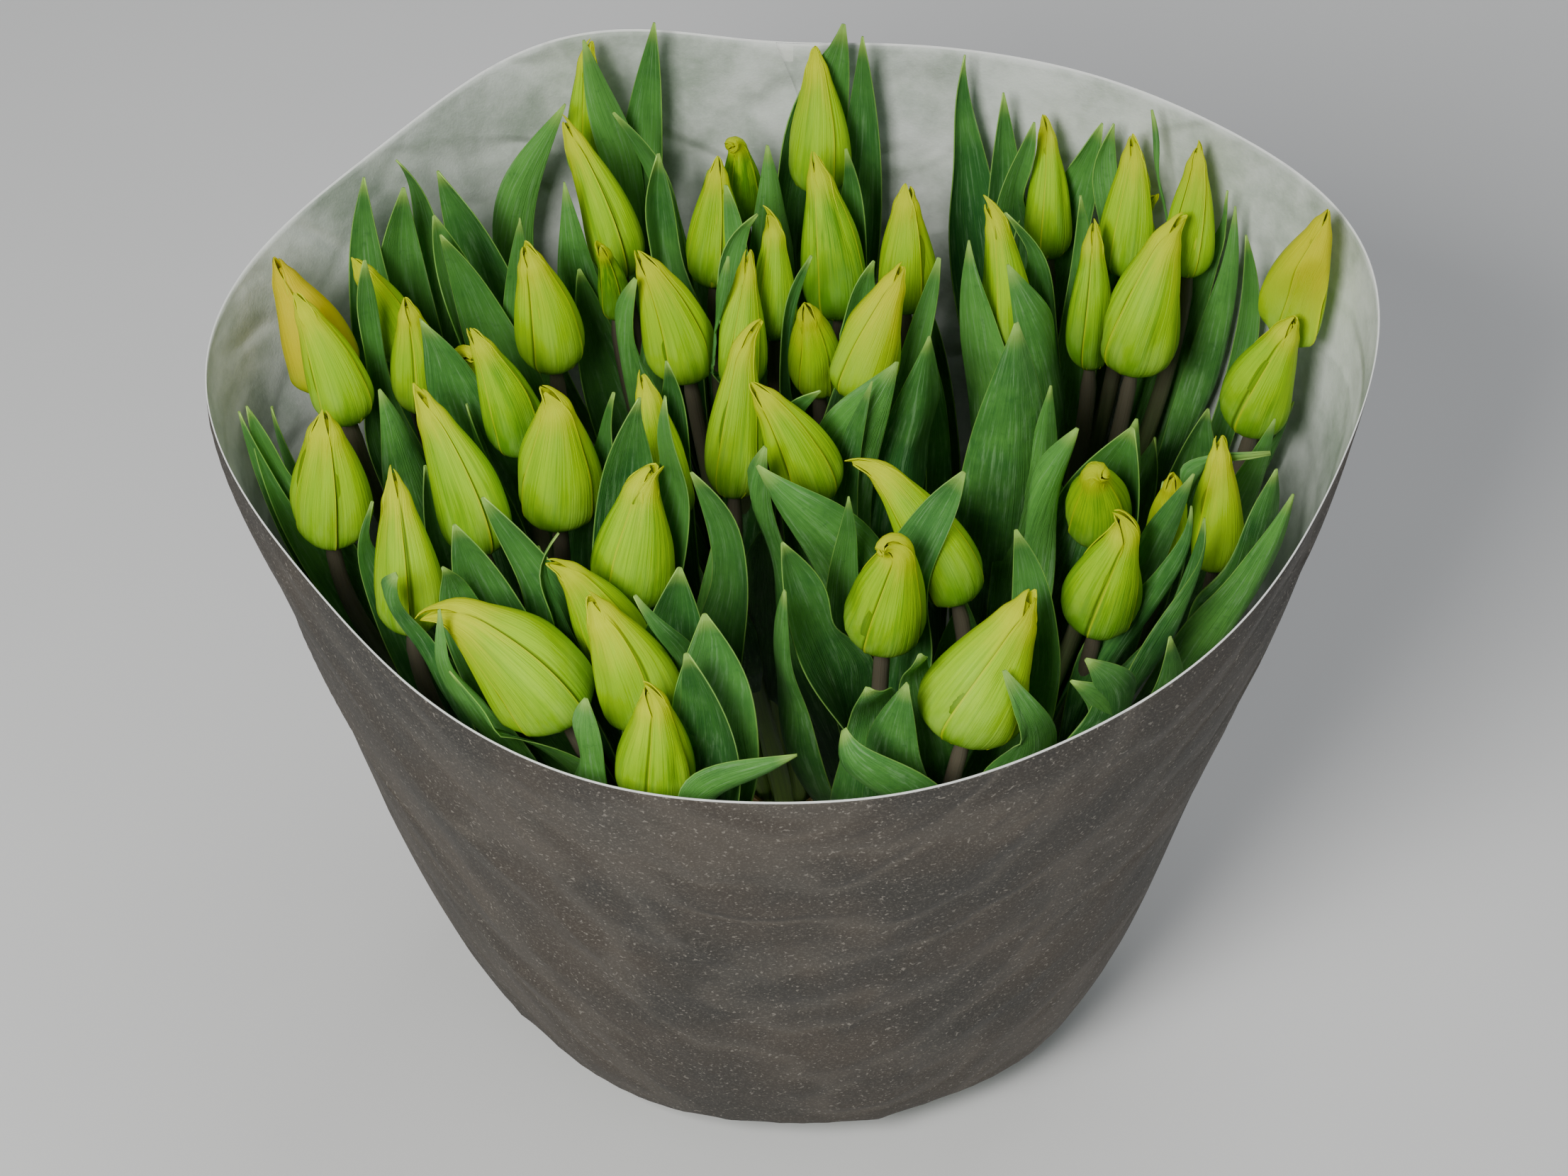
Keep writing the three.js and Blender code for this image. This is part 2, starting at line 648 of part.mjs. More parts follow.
// Half width of a lance-shaped blade along its length, with a clasping root.
function leafOutline(s) {
  const blade = Math.sin(Math.PI * s ** 0.85) ** 0.85;
  return Math.max(blade, 0.32 * (1 - s) ** 3);
}

// A smooth curve through three places, which it passes at the shares 0, knot and 1 of its length.
// It starts in the direction upwards, whose rise is 1, and ends without a bend.
function bentLine(places, upwards, knot, s) {
  const before = places[1].clone().sub(places[0]).divideScalar(knot);
  const after = places[2].clone().sub(places[1]).divideScalar(1 - knot);
  const middle = before.clone().lerp(after, knot);
  const last = after.clone().multiplyScalar(1.5).addScaledVector(middle, -0.5);
  const slopes = [upwards.clone().multiplyScalar(before.z), middle, last];
  const k = s < knot ? 0 : 1;
  const span = k === 0 ? knot : 1 - knot;
  const t = (s - k * knot) / span;
  return point(0, 0, 0)
    .addScaledVector(places[k], (1 + 2 * t) * (1 - t) ** 2)
    .addScaledVector(slopes[k], t * (1 - t) ** 2 * span)
    .addScaledVector(places[k + 1], t ** 2 * (3 - 2 * t))
    .addScaledVector(slopes[k + 1], t ** 2 * (t - 1) * span);
}

// The leaf's middle line: up along the stem from the root, out to the body and to the tip.
function leafLine(tulip, { body, tip }, root) {
  const outwards = body.clone().sub(centreAt(tulip, body.z)).normalize();
  const start = centreAt(tulip, root).addScaledVector(outwards, LEAF.clasp);
  const upwards = centreAt(tulip, root + 1).sub(centreAt(tulip, root));
  const rise = start.distanceTo(body);
  const knot = rise / (rise + body.distanceTo(tip));
  const line = (s) => bentLine([start, body, tip], upwards, knot, s);
  const at = (s) => clearOfBud(tulip, line(s), LEAF.lineGap);
  return { at, knot, outwards };
}

// The points across a blade's outer side. The inner side has one, between them.
const FRONT = [-1, 0, 1];

// At each level on its middle line a leaf is an arc with a fold at the midrib, whose hollow side
// faces the bud. It clasps the stem at the root and flattens as it rises, where the blade turns
// to face the viewer.
function leafSolid(tulip, leaf) {
  const root = mix(LEAF.root.low, LEAF.root.high, draw(leaf.seed * 7 + 1));
  const hollow = mix(18, 40, draw(leaf.seed * 13 + 3));
  const fold = mix(0.05, 0.5, draw(leaf.seed * 17 + 4));
  const { at, knot, outwards } = leafLine(tulip, leaf, root);
  const viewer = point(0.7 * (draw(leaf.seed * 11 + 2) - 0.5), -1, 0);
  if (outwards.dot(viewer) < 0) viewer.negate();
  const layer = LEAF.layer * tulip.leaves.indexOf(leaf);
  const inPlace = (p, inwards) => {
    const clear = clearOfBud(tulip, p, LEAF.budGap + layer - inwards);
    const free = insideRoom(tulip, clear, LEAF_GAP + layer + inwards, true);
    return insideSleeve(free, WALL_GAP + inwards);
  };
  const section = (s) => {
    const way = at(s + 0.02).sub(at(s - 0.02)).normalize();
    const normal = outwards.clone().lerp(viewer, leaf.shape.facing * smooth(s, 0.3, knot));
    normal.addScaledVector(way, -normal.dot(way)).normalize();
    const across = way.clone().cross(normal);
    const full = (LEAF.fullness * leaf.half * leafOutline(s)) / leafOutline(knot);
    const half = LEAF.widest * Math.tanh(full / LEAF.widest);
    const radius = mix(LEAF.clasp, hollow, smooth(s, 0.05, 0.6)) * (1 - 0.5 * smooth(s, 0.8, 1));
    const widestTurn = 1.4 * Math.tanh(half / radius / 1.4);
    const place = (a, inwards) => {
      const wide = radius * Math.sin(widestTurn * a);
      const crease = fold * half * smooth(s, 0.3, 0.7) * (Math.hypot(a, 0.1) - 0.1);
      const deep = radius * (1 - Math.cos(widestTurn * a)) + crease + inwards;
      return inPlace(at(s).addScaledVector(across, wide).addScaledVector(normal, -deep), inwards);
    };
    return [...FRONT.map((a) => place(a, 0)), place(0, LEAF.thickness)];
  };
  const sections = leaf.shape.levels.map(section);
  return loft([[centreAt(tulip, root)], ...sections, [inPlace(at(1), 0)]], FRONT.length - 1);
}

function bundleSolid(bundle) {
  const members = tulips.filter((tulip) => tulip.bundle === bundle);
  const parts = members.flatMap((tulip) => [
    stemSolid(tulip),
    ...tulip.leaves.map((leaf) => leafSolid(tulip, leaf)),
  ]);
  return joined(parts);
}

// The band follows the outer stems of its bundle.
function bandSolid(bundle) {
  const waists = tulips.filter((tulip) => tulip.bundle === bundle).map((tulip) => tulip.waist);
  const outline = (out) =>
    Array.from({ length: BAND.sides }, (_, i) => {
      const angle = (FULL_TURN * i) / BAND.sides;
      const normal = new THREE.Vector2(Math.cos(angle), Math.sin(angle));
      const outermost = waists.reduce((best, w) => (w.dot(normal) > best.dot(normal) ? w : best));
      return outermost.clone().addScaledVector(normal, STEM_RADIUS.cut * 1.02 + out);
    });
  const shape = new THREE.Shape(outline(BAND.gap + BAND.thickness));
  shape.holes.push(new THREE.Path(outline(BAND.gap)));
  const geometry = new THREE.ExtrudeGeometry(shape, { depth: BAND.width, bevelEnabled: false });
  const [x, y] = BUNDLES[bundle];
  return geometry.translate(x, y, BAND.height - BAND.width / 2);
}

function sleeveSolid() {
  const columns = 36;
  const wall = (out) =>
    PROFILE.map(([share]) =>
      Array.from({ length: columns }, (_, i) => {
        const turn = (FULL_TURN * i) / columns;
        const z = Math.max(HEM_HEIGHT, share * wallAt(turn, 0).rim);
        const reach = wallAt(turn, z).reach + out;
        return point(reach * Math.cos(turn), reach * Math.sin(turn), z);
      }),
    );
  const outside = wall(PAPER);
  const inside = wall(0).toReversed();
  return new THREE.BufferGeometry().setFromPoints(skin([...outside, ...inside, outside[0]]));
}

// ---- the bunch -----------------------------------------------------------------------------------

const finish = (color, roughness) =>
  new THREE.MeshStandardMaterial({ color, roughness, metalness: 0 });
const budFinish = finish(0xb9cc2a, 0.5);
const leafFinish = finish(0x2f6b34, 0.45);
const bandFinish = finish(0xc9a25a, 0.7);
const paperFinish = finish(0x4a4541, 0.9);

const bunch = new THREE.Group();

function add(name, geometry, material) {
  const mesh = new THREE.Mesh(geometry, material);
  mesh.name = name;
  bunch.add(mesh);
}

tulips.forEach((tulip, i) => {
  add("bud_" + String(i + 1).padStart(2, "0"), budSolid(tulip), budFinish);
});
Object.keys(BUNDLES).forEach((bundle) => {
  add("leafy_stems_" + bundle, bundleSolid(bundle), leafFinish);
  add("elastic_band_" + bundle, bandSolid(bundle), bandFinish);
});
add("paper_sleeve", sleeveSolid(), paperFinish);

const box = new THREE.Box3().setFromObject(bunch);
bunch.position.set(-(box.min.x + box.max.x) / 2, -(box.min.y + box.max.y) / 2, -box.min.z);

export default bunch;
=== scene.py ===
import math

import bpy
import numpy as np
from bpy.props import FloatProperty, FloatVectorProperty, PointerProperty
from mathutils import Matrix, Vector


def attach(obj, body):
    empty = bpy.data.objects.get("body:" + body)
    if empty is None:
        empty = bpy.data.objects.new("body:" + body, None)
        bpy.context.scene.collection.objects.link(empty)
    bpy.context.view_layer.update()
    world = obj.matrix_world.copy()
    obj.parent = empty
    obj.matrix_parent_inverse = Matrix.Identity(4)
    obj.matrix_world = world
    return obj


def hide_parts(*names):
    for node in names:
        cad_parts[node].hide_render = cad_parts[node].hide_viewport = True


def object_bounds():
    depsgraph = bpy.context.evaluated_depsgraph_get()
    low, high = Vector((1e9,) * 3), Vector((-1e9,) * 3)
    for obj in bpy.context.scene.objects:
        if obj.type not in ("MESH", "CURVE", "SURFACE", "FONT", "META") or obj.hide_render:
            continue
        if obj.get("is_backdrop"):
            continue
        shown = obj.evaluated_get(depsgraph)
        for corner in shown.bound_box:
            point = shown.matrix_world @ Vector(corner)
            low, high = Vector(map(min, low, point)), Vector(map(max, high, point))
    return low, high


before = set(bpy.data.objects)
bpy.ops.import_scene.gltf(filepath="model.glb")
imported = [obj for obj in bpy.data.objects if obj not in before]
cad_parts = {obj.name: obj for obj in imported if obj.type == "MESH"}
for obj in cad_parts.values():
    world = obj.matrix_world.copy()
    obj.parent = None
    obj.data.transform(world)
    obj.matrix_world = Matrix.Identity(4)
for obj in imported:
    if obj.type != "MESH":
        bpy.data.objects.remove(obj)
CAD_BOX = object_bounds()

bl_info = {
    "name": "Bunch of Tulips",
    "version": (1, 0, 0),
    "blender": (4, 5, 0),
    "location": "View3D > Sidebar > Tulips",
    "description": "Dresses a bunch of tulips in bud, with its leaves and its paper sleeve",
    "category": "Object",
}

MM = 0.001
FULL_TURN = 2 * math.pi
BODY = "root"


def rgb(red, green, blue):
    """A screen colour, 0 to 255 in each channel, as the linear colour that Blender works in."""
    share = np.array([red, green, blue]) / 255
    linear = np.where(share <= 0.04045, share / 12.92, ((share + 0.055) / 1.055) ** 2.4)
    return tuple(float(value) for value in linear)


def ease(low, high, x):
    """0 below low, 1 above high and a smooth rise between: 3 t^2 - 2 t^3. Where low is the
    larger, it falls from 1 to 0."""
    t = np.clip((x - low) / (high - low), 0, 1)
    return t * t * (3 - 2 * t)


def mix(a, b, share):
    """The point that far from a to b."""
    return a + (b - a) * share


def unit(vectors):
    """The vectors, each made 1 long."""
    return vectors / np.linalg.norm(vectors, axis=-1, keepdims=True)


def dot(a, b):
    """The dot product of each row of a with the same row of b, as a column."""
    return np.einsum("...i,...i->...", a, b)[..., None]


def square_to(vectors, ways):
    """What is left of the vectors square to the unit vectors ways."""
    return vectors - dot(vectors, ways) * ways


def draw(number):
    """An even draw from 0 to 1 that depends only on its number."""
    value = math.sin(number * 12.9898) * 43758.5453
    return value - math.floor(value)


# ---- layout: where every tulip stands ----------------------------------------------------------

# The bundle of each bud, in the order of the nodes bud_01, bud_02 and so on, and where the
# middle of each bundle stands, in mm.
BUNDLE_OF_BUD = "aabbbbbbbbbbdddddddaaeaaaaaaaeeccccccccccceeeeecc"
BUNDLES = {"a": (0, 50), "b": (-84, 26), "c": (84, 28), "d": (-44, -46), "e": (46, -46)}
AXIS = np.array([-1.46, -1.15]) * MM  # the sleeve's middle line stands here

# Stems.
WAIST_HEIGHT = 62 * MM  # where a band holds them
STEM_PITCH = 7.2 * MM  # between the middles of two neighbours there
END_SPLAY = 1.3  # how much wider a bundle is at its cut ends than at its waist
STEM_RADIUS = (4.4 * MM, 3.2 * MM)  # at the cut end and at the neck
STEM_HANDLE = 0.3  # length of the handles of a stem's curve, as a share of its rise
STEM_PLACES = 25  # on a stem's middle line
PRESSINGS = 300  # steps in which the stems of a bundle are pressed together
PRESS_START = 0.2  # a stem's first place, as a share of its bud's place in the bundle
PRESS_PULL = 0.99  # share of its distance from the bundle's middle that a step leaves a stem

# Buds.
BOW = 0.36  # how upright a bud starts before it leans
BUD_WIDEST = 0.25  # share of a bud's length
BUD_ROUNDING = 2.2  # power of the curve below its widest place
BUD_TAPER = 1.7  # power of the curve above it
CAD_BULGE = 1.05  # how far the lobes of a CAD bud stand out over its radius
PETAL_BULGE = 1.08  # how far the petals stand out over it
SPINE_PLACES = 9  # on a bud's middle line, as the layout needs it
PUSH_PLACES = 25  # on a bud's middle line, where the blades are pushed off it

# The room that each tulip has among its neighbours.
STEM_ROOM = 8 * MM  # radius round a stem
BUD_GAP = 3.2 * MM  # round a bud
BUD_RAMP = 22 * MM  # over which a tulip's room narrows from its bud to its stem
WALL_GAP = 2.2 * MM  # kept free inside the sleeve
LEAF_GAP = 0.6 * MM  # kept free round a leaf
CROWDING = 10  # how late and how sharply a leaf gives way to its neighbours
WALL_CROWDING = 24  # and to the sleeve
LEAST_ROOM = 0.5 * MM  # that a tulip keeps towards a neighbour
MOST_ROOM = 70 * MM  # that it has where no neighbour is near

# Leaves.
LEAF_CLEARANCE = 4 * MM  # between a leaf and another bud of its bundle
LEAF_LAYER = 0.8 * MM  # between the leaves of one tulip where they are pressed together
LEAF_ROOT = (130 * MM, 190 * MM)  # lowest and highest root
LEAF_HEIGHT = 380 * MM  # leaf tips in the middle of the bunch
FOOT_RISE = 0.1  # the back of the bunch stands higher: rise per metre of depth
HIGHEST = 429 * MM  # no leaf reaches higher
CLASP = 7.5 * MM  # how far a leaf's root stands from the stem's middle
SEEN_FACING = 0.85  # how far a leaf that shows turns to the viewer
SLIDE_STEPS = 80  # of 2 mm, that a leaf's place may slide along its line of sight
TIP_WEIGHT = 0.7  # of a leaf's tip, against its body, in the choice of the tulip it grows from
LEAF_WEIGHT = 0.3  # in that choice, of each leaf over LEAF_COUNT that the tulip has
LEAF_COUNT = 2  # a tulip with fewer leaves that show gets hidden ones

# Hidden leaves.
HIDDEN_FACING = 0.3
HIDDEN_HALF = (12 * MM, 16 * MM)  # half width
HIDDEN_REACH = (12 * MM, 30 * MM)  # how far one stands from the tulip's middle line
HIDDEN_FILL = 0.75  # share of the room that it stands out to
HIDDEN_TOP = (30 * MM, -40 * MM)  # height of its tip over the foot of the bud
HIDDEN_DROP = 70 * MM  # from its tip to its broadest place
HIDDEN_WAYS = 24  # directions round the tulip in which it may stand
HIDDEN_APART = -0.2  # cosine of the least turn between it and the tulip's other leaves

# The sleeve's reach at some shares of its height, as a share of its reach at the rim.
PROFILE = ((0.0, 0.57), (0.3, 0.742), (0.5, 0.82), (0.7, 0.893), (0.87, 0.965), (1.0, 1.0))
SLEEVE_COLUMNS = 36  # of the CAD sleeve
RIM_WAVES = 11  # kept of the rim's Fourier series

# The photograph's view, which the leaves are placed from.
VIEW_CENTRE = (1106, 829.5)  # middle of the picture, in pixels
VIEW_FOCAL = 7000  # in pixels
VIEW_ELEVATION = math.radians(48)
VIEW_DISTANCE = 1.823  # from the eye to where it aims, in metres
VIEW_AIM_HEIGHT = 0.303
PIXELS_PER_METRE = 3930  # at the buds
AWAY = np.array([0, -math.cos(VIEW_ELEVATION), math.sin(VIEW_ELEVATION)])
UPRIGHT = np.array([0, math.sin(VIEW_ELEVATION), math.cos(VIEW_ELEVATION)])
EYE = np.append(AXIS, VIEW_AIM_HEIGHT) + VIEW_DISTANCE * AWAY

# Each leaf that shows: its tip, a place lower on its middle and its width there, in pixels, and
# how many mm nearer to the viewer its tip stands than the even slope of the tips.
LEAVES = (
    ((450, 325), (452, 440), 75, 0), ((521, 343), (508, 450), 75, -6),
    ((530, 262), (560, 430), 75, 0), ((567, 378), (600, 480), 68, 6),
    ((580, 405), (630, 510), 60, 0), ((572, 310), (640, 450), 100, -4),
    ((762, 235), (665, 420), 95, 0), ((706, 395), (703, 470), 34, 0),
    ((767, 360), (782, 470), 62, 0), ((803, 128), (835, 270), 62, 35),
    ((911, 80), (893, 280), 82, 0), ((848, 222), (935, 350), 48, 12),
    ((912, 292), (905, 430), 98, 4), ((1085, 293), (1090, 430), 62, 0),
    ((1062, 370), (1010, 460), 48, 8), ((1016, 338), (1032, 410), 45, 10),
    ((1198, 88), (1140, 280), 130, -8), ((1231, 103), (1230, 300), 66, 0),
    ((1201, 283), (1215, 400), 56, 8), ((1245, 455), (1225, 520), 50, 6),
    ((1363, 133), (1385, 330), 90, 0), ((1147, 440), (1085, 590), 48, 4),
    ((1017, 458), (1015, 510), 30, 4), ((1343, 452), (1332, 540), 52, 0),
    ((1375, 455), (1410, 600), 75, 0), ((1447, 192), (1447, 320), 56, 0),
    ((1490, 245), (1468, 390), 80, 12), ((1445, 383), (1480, 460), 48, 0),
    ((1607, 235), (1555, 340), 90, 0), ((1618, 237), (1590, 320), 60, -12),
    ((1568, 352), (1565, 420), 26, 0), ((1690, 222), (1715, 330), 58, 0),
    ((1796, 342), (1700, 620), 75, 0), ((1813, 380), (1768, 640), 90, 0),
    ((1817, 415), (1835, 530), 40, 6), ((1458, 485), (1525, 640), 120, 0),
    ((1467, 568), (1455, 760), 135, 58), ((1521, 656), (1515, 730), 42, 12),
    ((1553, 725), (1480, 840), 100, 6), ((1646, 708), (1610, 790), 110, -10),
    ((1855, 766), (1720, 790), 60, -17), ((1734, 787), (1670, 900), 52, 10),
    ((1784, 848), (1690, 965), 75, 4), ((1815, 860), (1755, 975), 85, 4),
    ((1868, 785), (1840, 880), 78, 0), ((1911, 833), (1890, 880), 40, 0),
    ((1862, 705), (1840, 755), 28, -20), ((241, 685), (298, 790), 45, 0),
    ((264, 675), (330, 790), 72, 0), ((463, 452), (480, 680), 95, 25),
    ((568, 545), (605, 650), 85, 15), ((642, 815), (690, 880), 75, 0),
    ((472, 820), (478, 890), 28, 0), ((603, 857), (645, 950), 95, 0),
    ((738, 885), (750, 1030), 60, 0), ((877, 488), (850, 600), 95, -5),
    ((927, 598), (950, 730), 72, 0), ((846, 648), (830, 750), 58, 0),
    ((885, 665), (870, 750), 56, 35), ((925, 665), (915, 780), 46, 50),
    ((964, 782), (1045, 885), 90, 0), ((1162, 648), (1122, 680), 32, -8),
    ((1073, 755), (1050, 810), 50, 0), ((1062, 800), (1125, 840), 66, 0),
    ((1281, 633), (1215, 715), 100, 0), ((1232, 685), (1188, 840), 56, 0),
    ((1340, 590), (1320, 730), 115, 0), ((1385, 775), (1345, 840), 80, 5),
    ((1205, 810), (1195, 990), 52, 0), ((1090, 880), (1150, 1000), 105, 0),
    ((1462, 866), (1510, 1060), 110, 0), ((880, 983), (890, 1025), 32, 8),
    ((945, 925), (935, 990), 75, 0), ((985, 995), (1010, 1080), 105, 0),
    ((1095, 977), (1060, 1050), 70, -8), ((962, 1050), (1000, 1155), 130, 0),
    ((1238, 1128), (1240, 1200), 75, 0), ((1290, 1113), (1278, 1170), 58, -14),
    ((1315, 1070), (1340, 1190), 92, 0), ((1448, 1100), (1474, 1185), 80, -16),
    ((1133, 1215), (1210, 1250), 80, 0), ((1138, 1240), (1040, 1262), 55, 8),
    ((795, 1142), (785, 1210), 80, 0), ((590, 1098), (740, 1200), 42, 10),
    ((495, 955), (470, 985), 60, 0), ((580, 922), (600, 975), 42, 0),
    ((624, 955), (630, 1000), 24, 13), ((700, 995), (716, 1030), 24, 0),
    ((565, 1010), (582, 1075), 38, 0), ((1560, 1122), (1610, 1145), 50, 0),
    ((1583, 1085), (1620, 1110), 44, 0), ((1712, 1055), (1716, 1100), 38, 0),
)

# The leaves that grow from another tulip of their bundle than the one whose room they are in,
# by their place in LEAVES: there they have the width that the photograph shows.
OTHER_TULIP = {0: 5, 2: 5, 6: 1, 28: 34, 63: 22, 64: 31, 65: 31, 70: 45, 73: 17, 76: 46, 78: 46}
SLIVERS = (86, 87)  # leaves that would be no more than threads between two buds


def node_points(name):
    """The vertices of a CAD node, as an array of rows."""
    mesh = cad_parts[name].data
    points = np.empty(len(mesh.vertices) * 3)
    mesh.vertices.foreach_get("co", points)
    return points.reshape(-1, 3)


def sight_through(pixel):
    """The direction of the photograph's line of sight through a pixel."""
    right = (pixel[0] - VIEW_CENTRE[0]) / VIEW_FOCAL
    up = (VIEW_CENTRE[1] - pixel[1]) / VIEW_FOCAL
    return unit(np.array([1, 0, 0]) * right + UPRIGHT * up - AWAY)


class Wall:
    """The sleeve's inner wall, read from the CAD sleeve's rim. A Fourier series round the rim
    gives its reach and height in any direction, and a polynomial gives the taper below it."""

    def __init__(self):
        points = node_points("paper_sleeve")
        points[:, :2] -= AXIS
        turn = np.arctan2(points[:, 1], points[:, 0]) % FULL_TURN
        column = np.round(turn / FULL_TURN * SLEEVE_COLUMNS).astype(int) % SLEEVE_COLUMNS
        reach = np.hypot(points[:, 0], points[:, 1])
        top = np.array([points[column == k, 2].max() for k in range(SLEEVE_COLUMNS)])
        rim = [
            reach[(column == k) & (points[:, 2] > top[k] - MM)].min()
            for k in range(SLEEVE_COLUMNS)
        ]
        self.heights = np.fft.rfft(top)[:RIM_WAVES] / SLEEVE_COLUMNS
        self.reaches = np.fft.rfft(rim)[:RIM_WAVES] / SLEEVE_COLUMNS
        self.taper = np.polyfit(*np.array(PROFILE).T, deg=4)

    def series(self, terms, turn):
        """The sum of the terms' waves at an angle: c0 + 2 re(c_k e^(i k turn))."""
        waves = [2 * (c * np.exp(1j * k * turn)).real for k, c in enumerate(terms) if k]
        return terms[0].real + sum(waves)

    def rim_height(self, turn):
        return self.series(self.heights, turn)

    def reach(self, turn, z):
        """Distance of the wall from the sleeve's middle line."""
        share = np.clip(z / self.rim_height(turn), 0, 1)
        return self.series(self.reaches, turn) * np.polyval(self.taper, share)


def bud_spine(foot, tip, t):
    """The bud's middle line: a parabola that starts upright at the foot and leans to the tip."""
    t = np.asarray(t)[..., None]
    knee = (foot + tip) / 2 + BOW * (foot - tip) * [1, 1, 0]
    return (1 - t) ** 2 * foot + 2 * t * (1 - t) * knee + t**2 * tip


def bud_outline(t):
    """Radius of a closed bud along its length, as a share of its radius at the widest place:
    round at the foot, and drawn out to a slim tip."""
    t = np.clip(t, 0, 1)
    foot = np.sqrt(1 - (1 - np.minimum(t / BUD_WIDEST, 1)) ** BUD_ROUNDING)
    return foot * (1 - np.maximum((t - BUD_WIDEST) / (1 - BUD_WIDEST), 0) ** BUD_TAPER)


class Tulip:
    """One tulip: its bud as the CAD node has it, and the stem's waist in its bundle."""

    def __init__(self, number, bundle):
        self.number = number
        self.bundle = bundle
        self.node = f"bud_{number:02d}"
        points = node_points(self.node)
        middle = points.mean(0)
        axis = np.linalg.svd(points - middle, full_matrices=False)[2][0]
        along = (points - middle) @ (axis * np.sign(axis[2]))
        self.foot = points[along.argmin()]
        self.tip = points[along.argmax()]
        self.length = np.linalg.norm(self.tip - self.foot)
        self.spine = bud_spine(self.foot, self.tip, np.linspace(0, 1, SPINE_PLACES))
        across = np.linalg.norm(points[:, None] - self.spine[None], axis=2).min(1)
        self.radius = across.max() / CAD_BULGE
        self.waist = np.zeros(2)
        self.leaves = []

    def draw_line(self):
        """The middle line: cut end, a Bezier curve from waist to foot, tip, and on above it."""
        centre = np.array(BUNDLES[self.bundle]) * MM + AXIS
        end = np.append(centre + self.waist * END_SPLAY, 0)
        waist = np.append(centre + self.waist, WAIST_HEIGHT)
        rise = np.linalg.norm(self.foot - waist)
        near = mix(waist, self.foot, STEM_HANDLE)
        far = self.foot - STEM_HANDLE * rise * unit(self.spine[1] - self.foot)
        t = np.linspace(0, 1, STEM_PLACES)[:, None]
        curve = (
            (1 - t) ** 3 * waist + 3 * (1 - t) ** 2 * t * near
            + 3 * (1 - t) * t**2 * far + t**3 * self.foot
        )
        self.stem = np.vstack([end, curve])
        above = self.tip + 2 * self.length * unit(self.tip - self.spine[-2])
        self.line = np.vstack([self.stem, self.spine[1:], above])

    def centre(self, z):
        """Where the middle line is at a height."""
        return np.column_stack([np.interp(z, self.line[:, 2], self.line[:, k]) for k in (0, 1)])

    def width(self, z):
        """Radius of the room that the tulip needs at a height, round its bud or its stem."""
        beyond = np.maximum(self.foot[2] - z, z - self.tip[2]) / BUD_RAMP
        return mix(self.radius + BUD_GAP, STEM_ROOM, np.clip(beyond, 0, 1))

    def bud_reach(self, z):
        """How far the bud, or the stem under it, reaches from the middle line at a height."""
        t = (z - self.foot[2]) / (self.tip[2] - self.foot[2])
        taper = 1 - np.clip((t - 0.45) / 0.75, 0, 1) ** BUD_TAPER
        return np.maximum(1.06 * self.radius * ease(-0.3, 0.02, t) * taper, 4 * MM)

    def share(self, point):
        """How far a point is from the middle line, as a share of the tulip's room there."""
        return np.linalg.norm(point[:2] - self.centre(point[2])[0]) / self.width(point[2])


